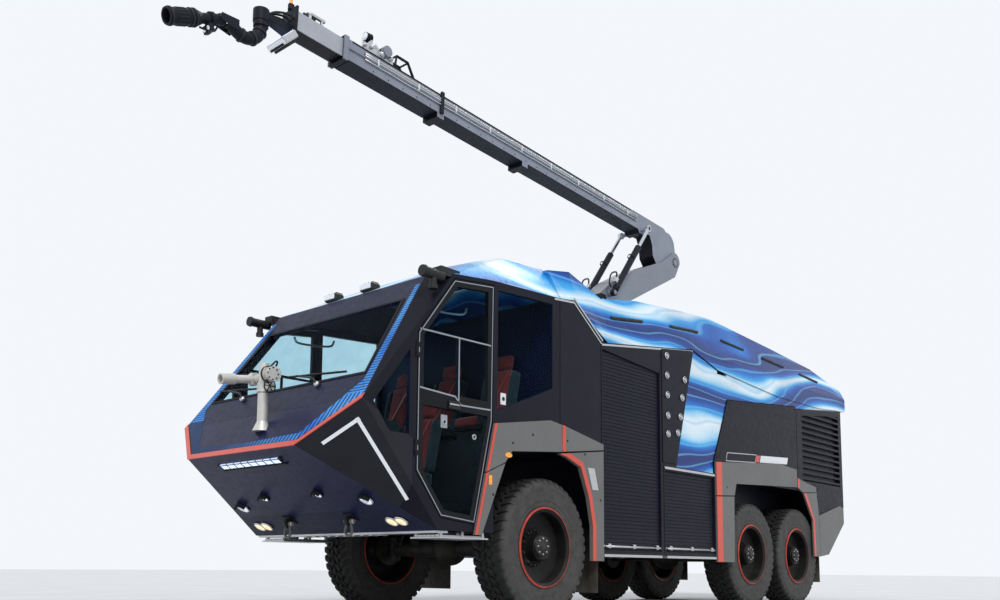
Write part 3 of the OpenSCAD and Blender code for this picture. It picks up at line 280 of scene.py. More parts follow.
def flowing_blue(s):
    """Generic wavy bands from deep blue to pale cyan, swept back along the body; dark underneath."""
    stretched = s.node("Mapping", {
        "Vector": s.coord, "Rotation": (0, math.radians(-24), 0), "Scale": (0.30, 0.55, 1.15),
    }).outputs[0]
    drift = s.node("TexNoise", {"Vector": stretched, "Scale": 0.9, "Detail": 2.0}).outputs["Color"]
    pushed = s.node("VectorMath", {0: drift, 3: 1.7}, operation="SCALE").outputs[0]
    place = s.node("VectorMath", {0: stretched, 1: pushed}, operation="ADD").outputs[0]

    def wave(scale, distortion, detail, detail_scale):
        return s.node("TexWave", {"Vector": place, "Scale": scale, "Distortion": distortion, "Detail": detail,
                                  "Detail Scale": detail_scale}, bands_direction="Z").outputs["Fac"]

    base = s.ramp(wave(0.42, 2.4, 2.0, 0.8), [
        (0.0, (0, 40, 112)), (0.34, (0, 70, 158)), (0.60, (0, 112, 204)),
        (0.82, (60, 172, 238)), (0.93, (176, 226, 250)), (1.0, (236, 248, 255)),
    ])
    streak = s.span(wave(1.9, 3.5, 1.5, 0.6), 0.88, 0.995)
    lit = s.mix(s.math("MULTIPLY", streak, 0.45), base, srgb(120, 204, 248))
    outside = s.mix(s.span(s.noise(0.55, 3), 0.40, 0.7, 0.0, 0.30), lit, srgb(0, 60, 140))
    under = s.math("LESS_THAN", s.xyz(s.normal)[2], -0.3)
    return s.mix(under, outside, s.patches(srgb(40, 43, 52), srgb(58, 61, 72), 3.0, 6, 0.6))


def glass(name, tint, sheen, share=0.03):
    """Tinted glass: most light goes straight through the tint, a share meets a glossy face."""
    s = Shader(name)
    s.put({"Base Color": s.uneven(srgb(*sheen), 0.85, 1.15, 2.5, 6, 0.7, low=0.35),
           "Roughness": s.span(s.noise(14, 5), 0.3, 0.8, 0.02, 0.06)})
    clear = s.node("BsdfTransparent", {0: s.uneven(tint, 0.96, 1.03, 2.5, 6, 0.7, low=0.35)})
    both = s.node("MixShader", {0: share, 1: clear.outputs[0], 2: s.bsdf.outputs[0]})
    fill(s.tree, s.out, {0: both.outputs[0]})
    return s.mat


def glow(name, color, lit, strength, ribs=160.0):
    """A lamp lens with fine ribs and some light of its own; lit and strength may be functions."""
    s = Shader(name)
    x = s.xyz()
    rib = s.math("SINE", s.math("MULTIPLY", s.math("ADD", x[1], x[2]), ribs))

    def ribbed(rgb, low):
        return s.mix(s.span(rib, -1, 1), shade(srgb(*rgb), low), srgb(*rgb))

    s.put({"Base Color": ribbed(color, 0.82), "Roughness": 0.12, "Coat Weight": 0.6,
           "Emission Color": lit(s) if callable(lit) else ribbed(lit, 0.8),
           "Emission Strength": strength(s) if callable(strength) else strength})
    s.relief(rib, 0.3, 0.002)
    return s.mat


def chin_colour(s):
    """Warm low lamps, clear ones above them, and a bluish bar on top, by height."""
    stops = [(0.0, (255, 222, 160)), (0.27, (206, 216, 232)), (0.72, (196, 216, 255))]
    return s.ramp(s.span(s.xyz()[2], 0.90, 1.60), stops, "CONSTANT")


def chin_power(s):
    return s.span(s.xyz()[2], 1.35, 1.40, 0.90, 0.95)


CLOTH_PITCH = 520.0


def woven(name, color):
    """Seat cloth: crossed ribs, soft sheen and worn patches."""
    s = Shader(name)
    x = s.xyz()
    warp = s.math("SINE", s.math("MULTIPLY", s.math("ADD", x[0], x[2]), CLOTH_PITCH))
    weft = s.math("SINE", s.math("MULTIPLY", x[1], CLOTH_PITCH))
    cloth = s.math("MULTIPLY", warp, weft)
    color = srgb(*color)
    s.put({"Base Color": s.mix(s.span(cloth, -1, 1, 0, 0.35), s.uneven(color, 0.8, 1.15, 6, 6, low=0.35),
                               shade(color, 0.55)), "Roughness": 0.85, "Sheen Weight": 0.25})
    s.relief(cloth, 0.35, 0.001)
    return s.mat


PILLAR_FOOT = 2.06
LEVEL_TICKS, UPRIGHT_TICKS, TICK_GAP = 34.0, 18.0, 0.60


def ticked(s):
    """Bright blue with dark ticks: level ones on the pillars, upright ones along the nose."""
    x = s.xyz()
    high = s.math("GREATER_THAN", x[2], PILLAR_FOOT)
    nose = s.math("SUBTRACT", 1.0, high)
    phase = s.math("ADD", s.math("MULTIPLY", s.math("MULTIPLY", x[2], LEVEL_TICKS), high),
                   s.math("MULTIPLY", s.math("MULTIPLY", x[1], UPRIGHT_TICKS), nose))
    tick = s.math("GREATER_THAN", s.math("FRACT", phase), TICK_GAP)
    tone = s.patches(srgb(40, 120, 224), srgb(96, 180, 248), 1.6, 3)
    # On the nose the band darkens towards the truck's right side.
    darkened_to_right = s.mix(s.math("MULTIPLY", s.span(x[1], 0.85, -0.35, 0.05, 0.88), nose), tone, srgb(40, 50, 78))
    return s.mix(s.math("MULTIPLY", tick, 0.85), darkened_to_right, srgb(12, 20, 46))


def brushed(name, color, rough, direction, metallic=0.9):
    """Metal with fine lines drawn along one way."""
    s = Shader(name)
    grid = s.node("Mapping", {"Vector": s.coord, "Scale": direction}).outputs[0]
    lines = s.node("TexNoise", {"Vector": grid, "Scale": 5.0, "Detail": 5.0}).outputs["Fac"]
    color = srgb(*color)
    s.put({"Base Color": s.mix(s.span(lines, 0.3, 0.7), shade(color, 0.85), shade(color, 1.1)),
           "Roughness": s.span(lines, 0.3, 0.7, rough - 0.08, rough + 0.1), "Metallic": metallic})
    s.relief(lines, 0.08, 0.001, 0.003)
    return s.mat


def tyre_rubber():
    """Rubber, darker on the tread and in the grooves; greyer on the side wall, which is dust and painted
    light together.
    """
    s = Shader("tyre_rubber")
    wall = s.span(s.radius(), 0.735, 0.70, 0.0, 1.0)
    # The side wall's grey stands for dust and for painted light on the lit wall.
    wall_dust_and_light = s.math("MULTIPLY", wall, s.span(s.noise(9, 8, 0.7), 0.3, 0.75, 0.35, 1.0))
    base = s.mix(s.noise(30, 4), srgb(22, 22, 23), srgb(38, 38, 38))
    s.put({"Base Color": s.mix(s.math("MULTIPLY", wall_dust_and_light, 0.50), base, srgb(112, 111, 110)),
           "Roughness": s.span(s.noise(12, 5), 0.3, 0.7, 0.72, 0.92), "IOR": 1.4})
    s.relief(s.noise(140, 5), 0.4, 0.002)
    return s.mat


def side_paint_and_painted_shade(side, core, half):
    """One colour on the side faces, and a dark painted shade on the top and underside that lie between them.
    """
    def colour(s):
        outer = s.math("GREATER_THAN", s.math("ABSOLUTE", s.xyz()[1]), half)
        return s.mix(outer, s.uneven(srgb(*core), 0.85, 1.2, 3.0, 6, 0.7),
                     s.uneven(srgb(*side), 0.88, 1.1, 3.0, 6, 0.7))
    return colour


def facing_painted_sheen(ahead, beside):
    """The paint toned by the way a face looks: a painted bluish sheen on faces that look ahead, another tone
    on those that look to a side.
    """
    def colour(s):
        side = s.math("ABSOLUTE", s.xyz(s.normal)[1])
        return s.mix(s.math("GREATER_THAN", side, 0.3), s.uneven(srgb(*ahead), 0.8, 1.2, 2.6, 6, 0.65),
                     s.uneven(srgb(*beside), 0.85, 1.15, 2.6, 6, 0.65))
    return colour


RED_FLANGE_R = 0.413


def rim_paint(centre_x):
    """Black wheel paint with the red flange, by distance from the wheel's axis."""
    def colour(s):
        flange = s.math("GREATER_THAN", s.radius(centre_x, TYRE_R), RED_FLANGE_R)
        return s.mix(flange, s.patches(srgb(12, 12, 14), srgb(26, 26, 28), 5, 6),
                     s.patches(srgb(160, 56, 46), srgb(200, 84, 68), 7, 6))
    return colour


FINISHES = {
    # The shell and the nose carry a painted bluish sheen on faces that look ahead.
    "shell": ("paint_shell", facing_painted_sheen((20, 26, 56), (22, 23, 34)), 0.40, dict(ior=1.22, dust=0.04)),
    "dark": ("paint_dark", (22, 23, 34), 0.44, dict(ior=1.24, dust=0.10)),
    "door": ("paint_door", (17, 18, 24), 0.42, dict(ior=1.24, dust=0.08)),
    "black": ("paint_black", (17, 19, 31), 0.42, dict(ior=1.24, dust=0.08, vary=0.15)),
    "nose": ("paint_nose", facing_painted_sheen((22, 26, 62), (38, 40, 46)), 0.34, dict(ior=1.22, dust=0.02)),
    "shutter": ("shutter_slats", (21, 22, 36), 0.46, dict(ior=1.24, dust=0.10, grain_scale=160)),
    "blue": ("wrap_blue", flowing_blue, 0.30, dict(coat=0.12, ior=1.30, grain=0.04)),
    "tick": ("band_blue", ticked, 0.5, dict(ior=1.20, grain=0.03, edge=0)),
    "grey": ("fender_grey", (110, 110, 109), 0.55,
             dict(ior=1.38, dust=0.2, vary=0.08, grain=0.35, grain_scale=240)),
    "red": ("trim_red", (214, 78, 58), 0.38, dict(ior=1.42, coat=0.2, vary=0.08, dust=0.12)),
    "monitor": ("monitor_cast", (206, 204, 198), 0.42, dict(metallic=0.35, vary=0.1, grain=0.3)),
    "steel": ("chassis_steel", (24, 24, 26), 0.6, dict(metallic=0.2, ior=1.4, dust=0.35, grain=0.4)),
    # The boom's top and underside are painted near black as shade; its side faces keep their grey.
    "boom": ("boom_grey", side_paint_and_painted_shade((140, 145, 157), (18, 19, 25), 0.1235), 0.42,
             dict(metallic=0.1, ior=1.25)),
    "arm": ("arm_grey", (128, 133, 142), 0.40, dict(metallic=0.2, coat=0.15, vary=0.08)),
    # The inner boom likewise carries a painted shade between its side faces.
    "inner": ("inner_boom_side", side_paint_and_painted_shade((172, 176, 184), (22, 23, 30), 0.098), 0.40,
              dict(metallic=0.1, ior=1.25)),
    "boom_dark": ("boom_dark", (32, 34, 42), 0.46, dict(ior=1.22, vary=0.15)),
    "plastic": ("moulded_plastic", (26, 27, 29), 0.55, dict(ior=1.42, grain=0.5, grain_scale=420)),
    "rubber": ("rubber_black", (22, 22, 23), 0.8, dict(ior=1.4, grain=0.5, grain_scale=200, dust=0.4)),
    "seal": ("seal_pale", (150, 156, 164), 0.5, dict(ior=1.4, grain=0.1, edge=0)),
    "white": ("stripe_white", (226, 229, 232), 0.35, dict(coat=0.3, vary=0.03, grain=0.03, edge=0)),
    "hose": ("hose_black", (20, 20, 22), 0.5, dict(ior=1.42, grain=0.3, grain_scale=300, edge=0)),
}
# Key: name, colour, colour and strength of its own light, and the ribs' pitch
LENSES = {
    "chin_lamps": ("chin_lamp_glass", (214, 220, 230), chin_colour, chin_power),
    # The nose stripes shine though they are no lamp: a painted glow.
    "stripe_painted_glow": ("nose_stripe_painted_glow", (226, 229, 232), (226, 232, 240), 0.28, 900.0),
    "amber": ("lens_amber", (232, 150, 30), (255, 160, 30), 0.35),
    "lens": ("lens_clear", (206, 214, 222), (236, 242, 255), 0.35),
    "lens_warm": ("lens_warm", (238, 214, 160), (255, 226, 168), 0.8),
    "lens_led": ("lens_led", (190, 212, 245), (206, 224, 255), 1.1),
    "lens_red": ("lens_red", (176, 26, 22), (200, 30, 24), 0.2),
    "lens_blue": ("lens_blue", (40, 92, 200), (60, 120, 230), 0.3),
}
M = {}


def make_materials():
    for key, (name, color, rough, extra) in FINISHES.items():
        M[key] = finish(name, color, rough, **extra)
    for key, row in LENSES.items():
        M[key] = glow(*row)
    M["silver"] = brushed("aluminium", (196, 198, 200), 0.36, (1.0, 60.0, 60.0))
    M["chrome"] = brushed("rod_chrome", (205, 208, 212), 0.14, (60.0, 60.0, 1.0), 1.0)
    M["screen"] = glass("screen_glass", (0.90, 0.97, 0.99), (40, 52, 78))
    M["window"] = glass("window_glass", (0.76, 0.90, 0.95), (34, 42, 48))
    M["cloth"] = woven("seat_cloth", (176, 44, 38))
    M["cloth_dark"] = woven("seat_sides", (40, 42, 46))
    M["tyre"] = tyre_rubber()


DRESS = {
    "shell": "cab_shell", "dark": "side_panels", "door": "door_left door_right", "nose": "nose_panel",
    "black": "body_core button_panels louvre_panels turret_base turret", "shutter": "shutters",
    "blue": "cab_roof body_upper", "grey": "front_fenders rear_fenders", "red": "nose_trim fender_trim",
    "silver": "cab_steps sill_rails", "monitor": "monitor_base monitor_head monitor_nozzle",
    "steel": "frame_rails axles springs engine_block tow_lugs knuckle_left knuckle_right",
    "chrome": "lift_rods", "arm": "lower_arm", "boom": "upper_boom", "inner": "inner_boom",
    "boom_dark": "boom_head lift_barrels tip_elbow tip_nozzle",
    "plastic": "cab_floor dashboard roof_handles camera_pods", "rubber": "mud_flaps",
    "chin_lamps": "front_lamps", "screen": "windscreen",
    "window": "side_windows door_glass_left door_glass_right",
}


def dress(material, name):
    mesh = nodes[name].data
    mesh.materials.clear()
    mesh.materials.append(material)


def dress_frame():
    for key, names in DRESS.items():
        for name in names.split():
            dress(M[key], name)
    for key in WHEELS:
        low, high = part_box("rim_" + key)
        paint = rim_paint((low.x + high.x) / 2)
        dress(finish("rim_paint_" + key, paint, 0.45, dust=0.08, ior=1.28), "rim_" + key)


# ---------------------------------------------------------------- mesh building


class Piece:
    """One mesh object, gathered from many small forms that ride on one body."""

    def __init__(self, name, body, *materials):
        self.name = name
        self.body = body
        self.materials = materials
        self.bm = bmesh.new()

    def add(self, verts, faces, slot=0, smooth=False):
        made = [self.bm.verts.new(v) for v in verts]
        for face in faces:
            f = self.bm.faces.new([made[i] for i in face])
            f.material_index = slot
            f.smooth = smooth

    def mesh(self):
        bmesh.ops.recalc_face_normals(self.bm, faces=self.bm.faces)
        mesh = bpy.data.meshes.new(self.name)
        self.bm.to_mesh(mesh)
        self.bm.free()
        for name in self.materials:
            mesh.materials.append(M[name])
        return mesh

    def done(self, replaces=()):
        obj = bpy.data.objects.new(self.name, self.mesh())
        bpy.context.scene.collection.objects.link(obj)
        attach(obj, self.body)
        if replaces:
            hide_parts(*replaces)
        return obj

    def block(self, centre, size, turn=None, slot=0, bevel=0.004):
        """A box with chamfered edges, turned by a matrix about its centre."""
        turn = turn or Matrix.Identity(3)
        half = Vector(size) / 2
        b = min(bevel, min(half) * 0.45)
        made = []
        for signs in itertools.product(SIDES, repeat=3):
            for axis in range(3):
                p = Vector([sign * (h - b) for sign, h in zip(signs, half)])
                p[axis] = signs[axis] * half[axis]
                made.append(self.bm.verts.new(centre + turn @ p))
        hull = bmesh.ops.convex_hull(self.bm, input=made)
        for f in hull["geom"]:
            if isinstance(f, bmesh.types.BMFace):
                f.material_index = slot

    def rings(self, rows, sides, closed=False, slot=0, smooth=True):
        """A skin over equal rings of points, with end caps unless the rows close on themselves."""
        n = len(rows)
        faces = [(i * sides + k, i * sides + (k + 1) % sides,
                  (i + 1) % n * sides + (k + 1) % sides, (i + 1) % n * sides + k)
                 for i in range(n if closed else n - 1) for k in range(sides)]
        if not closed:
            faces += [tuple(range(sides)), tuple((n - 1) * sides + k for k in range(sides))]
        self.add([p for row in rows for p in row], faces, slot, smooth)

    def lathe(self, profile, origin, axis, segments=32, slot=0, smooth=True, closed=False):
        """A profile of (radius, distance along the axis) turned about an axis."""
        axis = Vector(axis).normalized()
        u = axis.orthogonal().normalized()
        v = axis.cross(u)
        angles = [TAU * k / segments for k in range(segments)]
        rows = [[origin + axis * along + (u * math.cos(a) + v * math.sin(a)) * radius for a in angles]
                for radius, along in profile]
        self.rings(rows, segments, closed, slot, smooth)

    def tube(self, points, radius, sides=10, slot=0):
        """A round tube along points, with closed ends."""
        points = [Vector(p) for p in points]
        rows, side = [], None
        for i, p in enumerate(points):
            way = (points[min(i + 1, len(points) - 1)] - points[max(i - 1, 0)]).normalized()
            side = way.orthogonal() if side is None else side - way * side.dot(way)
            side.normalize()
            other = way.cross(side)
            rows.append([p + (side * math.cos(a) + other * math.sin(a)) * radius
                         for a in (TAU * k / sides for k in range(sides))])
        self.rings(rows, sides, slot=slot)

    def hose(self, points, radius, sides=8, slot=0, steps=8):
        """A tube on a smooth curve through points."""
        self.tube(spline(points, steps), radius, sides, slot)

    def plate(self, outline, normal, thick, slot=0):
        """A flat plate: the outline's points pushed out along the normal by its thickness."""
        out = Vector(normal).normalized() * thick
        n = len(outline)
        faces = [tuple(range(n)), tuple(range(n, 2 * n))]
        faces += [(i, (i + 1) % n, n + (i + 1) % n, n + i) for i in range(n)]
        self.add(outline + [p + out for p in outline], faces, slot)

    def ribbon(self, left, right, normal, thick, slot=0):
        """A thin strip between two rails of points."""
        out = Vector(normal).normalized() * thick
        rows = [Vector(p) for pair in zip(left, right) for p in pair]
        n = len(rows)
        faces = []
        for i in range(0, n - 2, 2):
            faces += [(i, i + 1, i + 3, i + 2), (n + i, n + i + 1, n + i + 3, n + i + 2),
                      (i, i + 2, n + i + 2, n + i), (i + 1, i + 3, n + i + 3, n + i + 1)]
        faces += [(0, 1, n + 1, n), (n - 2, n - 1, 2 * n - 1, 2 * n - 2)]
        self.add(rows + [p + out for p in rows], faces, slot)

    def hexagon(self, centre, axis, radius, height, slot=0):
        self.lathe([(radius, 0), (radius, height * 0.8), (radius * 0.82, height)], centre, axis, 6, slot,
                   smooth=False)

    def dome(self, centre, axis, radius, height, segments=12, slot=0):
        """A low round head, such as a bolt or a cap."""
        self.lathe([(radius, 0), (radius * 0.97, height * 0.45), (radius * 0.72, height * 0.85),
                    (radius * 0.3, height)], centre, axis, segments, slot)

    def decal(self, tree, corners, direction, nu, nv, lift=0.0014):
        """A patch that follows the CAD surface: a grid between four corners, dropped along a direction."""
        a, b, c, d = corners
        points = [on_surface(tree, lerp(lerp(a, b, i / nu), lerp(d, c, i / nu), j / nv), direction, lift)
                  for i in range(nu + 1) for j in range(nv + 1)]
        row = nv + 1
        self.add(points, [(i * row + j, (i + 1) * row + j, (i + 1) * row + j + 1, i * row + j + 1)
                          for i in range(nu) for j in range(nv)])


def arc_points(centre, u, v, radius, start, end, steps):
    """Points on an arc in the plane of u and v, angles in degrees."""
    u, v = Vector(u).normalized(), Vector(v).normalized()
    angles = (math.radians(lerp(start, end, i / steps)) for i in range(steps + 1))
    return [centre + (u * math.cos(a) + v * math.sin(a)) * radius for a in angles]


def spline(points, steps=8):
    """A smooth curve through points."""
    points = [Vector(p) for p in points]
    padded = [points[0] * 2 - points[1], *points, points[-1] * 2 - points[-2]]
    out = []
    for i in range(1, len(padded) - 2):
        a, b, c, d = padded[i - 1:i + 3]
        for t in (k / steps for k in range(steps)):
            out.append(0.5 * (2 * b + (c - a) * t + (2 * a - 5 * b + 4 * c - d) * t ** 2
                              + (3 * b - a - 3 * c + d) * t ** 3))
    return out + [points[-1]]


def surface_of(*names):
    """A ray tester over some CAD nodes."""
    verts, faces = [], []
    for name in names:
        mesh = nodes[name].data
        base = len(verts)
        verts += [v.co.copy() for v in mesh.vertices]
        faces += [[base + i for i in p.vertices] for p in mesh.polygons]
    return BVHTree.FromPolygons(verts, faces)


def on_surface(tree, point, direction, lift=0.0015, reach=1.5):
    """The point dropped along a direction onto the surface, lifted clear of it."""
    d = Vector(direction).normalized()
    hit = tree.ray_cast(point - d * reach, d, 2 * reach)[0]
    return point if hit is None else hit - d * lift


# ---------------------------------------------------------------- tyres

LUG_COUNT = 44
LUG_SHARE = 0.60
LUG_STEPS = 3
# Each wheel is turned a little further than the last
WHEEL_TURN = 0.37
# Side wall as (radius, half width), from the bead to the shoulder
WALL = [
    (0.3965, 0.172), (0.404, 0.181), (0.425, 0.1855), (0.445, 0.190), (0.452, 0.195),
    (0.460, 0.1935), (0.500, 0.203), (0.505, 0.2065), (0.512, 0.2055), (0.560, 0.2125),
    (0.595, 0.2145), (0.632, 0.2125), (0.638, 0.2150), (0.646, 0.2125), (0.672, 0.206),
    (0.694, 0.194), (0.708, 0.172), (0.713, 0.140), (0.714, 0.070), (0.714, 0.0),
]
# Outline of a shoulder lug as (half width, radius), over the carcass
SHOULDER = [(0.088, 0.7445), (0.150, 0.7435), (0.184, 0.734), (0.203, 0.706), (0.2095, 0.668)]
CENTRE_LUG = [(0.012, 0.7445), (0.074, 0.7445)]
CENTRE_FLOOR = [(0.074, 0.708), (0.012, 0.708)]


def tyre_mesh():
    piece = Piece("tyre", None, "tyre")
    piece.lathe(WALL + [(r, -w) for r, w in reversed(WALL[:-1])], vec(0, 0, 0), (0, 1, 0), 96, closed=True)
    pitch = TAU / LUG_COUNT

    def lug(outline, floor, start, span, side, skew):
        """A raised block: outline on top, floor radius or depth beneath, between two angles."""
        verts = []
        for k in range(LUG_STEPS + 1):
            a = start + span * k / LUG_STEPS
            ease = 0.004 if k in (0, LUG_STEPS) else 0.0
            verts += [vec(math.cos(a + skew * w) * r, side * w, math.sin(a + skew * w) * r)
                      for w, r in [(w, r - ease) for w, r in outline] + floor]
        n = len(outline) + len(floor)
        faces = [tuple(range(n)), tuple(LUG_STEPS * n + i for i in range(n))]
        faces += [(k * n + i, k * n + (i + 1) % n, (k + 1) * n + (i + 1) % n, (k + 1) * n + i)
                  for k in range(LUG_STEPS) for i in range(n)]
        piece.add(verts, faces)

    for k in range(LUG_COUNT):
        for side in SIDES:
            start = k * pitch + (0.5 * pitch if side < 0 else 0.0)
            outer = SHOULDER[:-1] if k % 2 else SHOULDER
            floor = [(w - 0.012, r - 0.03) for w, r in reversed(outer)]
            floor[-2:] = [(outer[1][0], 0.706), (outer[0][0], 0.708)]
            lug(outer, floor, start, pitch * LUG_SHARE, side, 0.5)
            lug(CENTRE_LUG, CENTRE_FLOOR, start + 0.35 * pitch, pitch * 0.66, side, -0.9)
    return piece.mesh()


def make_tyres():
    mesh = tyre_mesh()
    for i, key in enumerate(WHEELS):
        low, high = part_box("tyre_" + key)
        own = mesh.copy()
        own.transform(Matrix.Rotation(WHEEL_TURN * i, 4, "Y"))
        obj = bpy.data.objects.new("tread_" + key, own)
        obj.location = (low + high) / 2
        bpy.context.scene.collection.objects.link(obj)
        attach(obj, "wheel_" + key)
        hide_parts("tyre_" + key)


# ---------------------------------------------------------------- sloping frames of the body


def frame_turn(along, out):
    """A turn whose x axis lies along one way and whose z axis points another way."""
    x, z = Vector(along).normalized(), Vector(out).normalized()
    return Matrix((x, z.cross(x), z)).transposed()


SCREEN_UP, SCREEN_OUT = vec(-0.5748, 0, 0.8183), vec(0.8183, 0, 0.5748)
CHIN_UP, CHIN_OUT = vec(0.8616, 0, 0.5077), vec(0.5077, 0, -0.8616)
CHIN_TURN = frame_turn(CHIN_UP, CHIN_OUT)
BOOM_RISE = math.radians(2.67)
BOOM_ALONG = vec(math.cos(BOOM_RISE), 0, math.sin(BOOM_RISE))
BOOM_UP = vec(-math.sin(BOOM_RISE), 0, math.cos(BOOM_RISE))
BOOM_TURN = frame_turn(BOOM_ALONG, BOOM_UP)
KNUCKLE_X, KNUCKLE_Z = -4.900, 5.420
# Where the screen's outer edge starts, and how it leans in going up
CORNER_U = 0.4906
EDGE_LEAN = 0.261 / 1.6944


def screen_at(u, y, lift=0.0):
    """A point on the sloping screen plane: u up the slope from the nose edge."""
    return at(2.887, y, 1.593) + SCREEN_UP * u + SCREEN_OUT * lift


def screen_edge(u):
    return SIDE_Y - (u - CORNER_U) * EDGE_LEAN


def chin_at(u, y, lift=0.0):
    """A point on the chin: u forward and up from its rear edge."""
    return at(1.660, y, 0.870) + CHIN_UP * u + CHIN_OUT * lift


def boom_at(x, y, z):
    """A point in the upper boom's frame: x along it from the knuckle, z above its pivot."""
    return at(KNUCKLE_X, y, KNUCKLE_Z) + BOOM_ALONG * x + BOOM_UP * z


# ---------------------------------------------------------------- cab outside


def nose_marks():
    """White edge stripes on the nose's side facets, with a painted glow of their own."""
    piece = Piece("nose_stripes", "chassis", "stripe_painted_glow")
    wide = 0.034
    for side in SIDES:
        here, _ = flank(side)
        a, b, c = here(2.726, 1.063, 1.621), here(2.571, 1.380, 1.836), here(1.968, 1.399, 1.147)
        out = (b - a).cross(c - b).normalized()
        if out.y * side < 0:
            out = -out
        for p, q in ((a, b), (b, c)):
            way = (q - p).normalized()
            across = way.cross(out).normalized() * wide
            if across.dot(here(2.3, 1.3, 1.4) - p) < 0:
                across = -across
            lift = out * 0.0022
            piece.ribbon([p + lift, q + lift], [p + across + lift, q + across + lift], out, 0.0015)
    piece.done()


def ticked_bands():
    """Blue ticked bands above the red edge bar and up the pillars beside the windscreen."""
    piece = Piece("ticked_bands", "chassis", "tick")
    nose_y = 0.890
    start, end = CORNER_U + 0.07, 2.06
    tree = surface_of("nose_panel", "cab_shell")
    for side in SIDES:
        flat = [(0.066, 0.0), (0.066, nose_y - 0.03), (0.150, nose_y - 0.05), (0.118, 0.0)]
        rise = [(0.066, nose_y - 0.03), (CORNER_U + 0.060, 1.452), (CORNER_U + 0.240, 1.305),
                (0.150, nose_y - 0.05)]
        pillar = [(start, screen_edge(start) - 0.012), (end, screen_edge(end) - 0.012),
                  (end, screen_edge(end) - 0.075), (start + 0.17, screen_edge(start) - 0.148)]
        for corners, nu, nv in ((flat, 6, 2), (rise, 10, 3), (pillar, 24, 3)):
            piece.decal(tree, [screen_at(u, y * side) for u, y in corners], -SCREEN_OUT, nu, nv)
    piece.done()


def wipers():
    """Two long arms with blades, parked along the lower edge of the windscreen."""
    piece = Piece("wipers", "chassis", "plastic", "rubber", "silver")
    for y0 in (-0.62, 0.62):
        piece.lathe([(0.030, 0.001), (0.030, 0.030), (0.022, 0.042)], screen_at(0.775, y0), SCREEN_OUT, 20, 2)
        arm = [(0.775, 0, 0.036), (0.85, 0.10, 0.046), (0.925, 0.36, 0.040), (0.945, 0.40, 0.030)]
        piece.hose([screen_at(u, y0 - dy, lift) for u, dy, lift in arm], 0.010, steps=6)
        low, high = screen_at(0.880, y0 + 0.36, 0.022), screen_at(0.985, y0 - 0.62, 0.022)
        piece.tube([low, high], 0.008, 8)
        turn = frame_turn((high - low).normalized(), SCREEN_OUT)
        piece.block((low + high) / 2 - SCREEN_OUT * 0.010, ((high - low).length, 0.006, 0.012), turn, 1,
                    0.002)
        for t in (0.15, 0.38, 0.62, 0.85):
            piece.block(lerp(low, high, t), (0.05, 0.016, 0.018), turn, 0, 0.003)
    piece.done()


def screen_border():
    """The rubber seal round the windscreen's middle."""
    piece = Piece("screen_seal", "chassis", "rubber")
    low, high = 0.830, 1.860
    low_y, high_y = screen_edge(low) - 0.150, screen_edge(high) - 0.150
    left, right = [], []
    for u, y in ((low, -low_y), (low, low_y), (high, high_y), (high, -high_y), (low, -low_y)):
        inward = 1 if u == low else -1
        left.append(screen_at(u - 0.012 * inward, y * 1.010, 0.0012))
        right.append(screen_at(u + 0.016 * inward, y * 0.985, 0.0012))
    piece.ribbon(left, right, SCREEN_OUT, 0.005)
    piece.done()


def roof_lamps():
    """Lamp housings along the front edge of the roof, and beacons behind them."""
    piece = Piece("roof_lamps", "chassis", "plastic", "lens", "blue", "lens_blue")
    for y in (-0.30, 0.30):
        foot = at(1.565, y, 3.405)
        piece.block(foot + vec(0.0, 0, 0.045), (0.13, 0.21, 0.085), bevel=0.02)
        piece.block(foot + vec(0.068, 0, 0.047), (0.012, 0.17, 0.055), slot=1)
        for dy in (-0.06, 0.0, 0.06):
            piece.block(foot + vec(-0.02, dy, 0.094), (0.09, 0.01, 0.02), bevel=0.003)
    beacon = [(0.075, 0), (0.075, 0.02), (0.058, 0.03), (0.058, 0.105), (0.045, 0.125), (0.0, 0.13)]
    for y in (-1.0, 1.0):
        piece.lathe(beacon, at(0.70, y, 3.66), (0, 0, 1), 28, 3)
    piece.done()


# Round chin lamps: place up the chin, distance from the middle, and radius
CHIN_LAMPS = ((0.560, 1.010, 0.062), (0.700, 0.440, 0.042), (0.190, 1.020, 0.058), (0.190, 1.150, 0.058))


def lamp_rings():
    """Bright bezels round the chin lamps, stone shields and the lamp bar's surround."""
    piece = Piece("lamp_rings", "chassis", "plastic", "chrome", "black", "lens_warm", "lens")
    for u, y, r in CHIN_LAMPS:
        ring = [(r + 0.0015, 0.001), (r + 0.016, 0.001), (r + 0.016, 0.014), (r + 0.010, 0.022),
                (r + 0.0015, 0.022)]
        for side in SIDES:
            piece.lathe(ring, chin_at(u, y * side), CHIN_OUT, 36, 1 if r > 0.05 else 0, closed=True)
    for side in SIDES:
        for u, y, r in (CHIN_LAMPS[1], CHIN_LAMPS[0]):
            hood = arc_points(chin_at(u, y * side, 0.010), CHIN_UP, (0, side, 0), r + 0.021, -75, 75, 14)
            piece.ribbon(hood, [p + CHIN_OUT * 0.045 for p in hood], CHIN_UP, 0.003)
    for u, y, r in CHIN_LAMPS:
        for side in SIDES:
            piece.dome(chin_at(u, y * side, 0.0288), CHIN_OUT, r - 0.030, 0.007, 20, 3 if u < 0.3 else 4)
    for u in (1.245 + 0.034, 1.200 - 0.008):
        piece.block(chin_at(u, 0, 0.008), (0.014, 0.520 * 2 + 0.02, 0.020), CHIN_TURN, 0, 0.003)
    for i in range(9):
        piece.block(chin_at(1.2552, -0.4880 + i * 0.122, 0.0096), (0.060, 0.0125, 0.018), CHIN_TURN, 0, 0.003)
    piece.done()


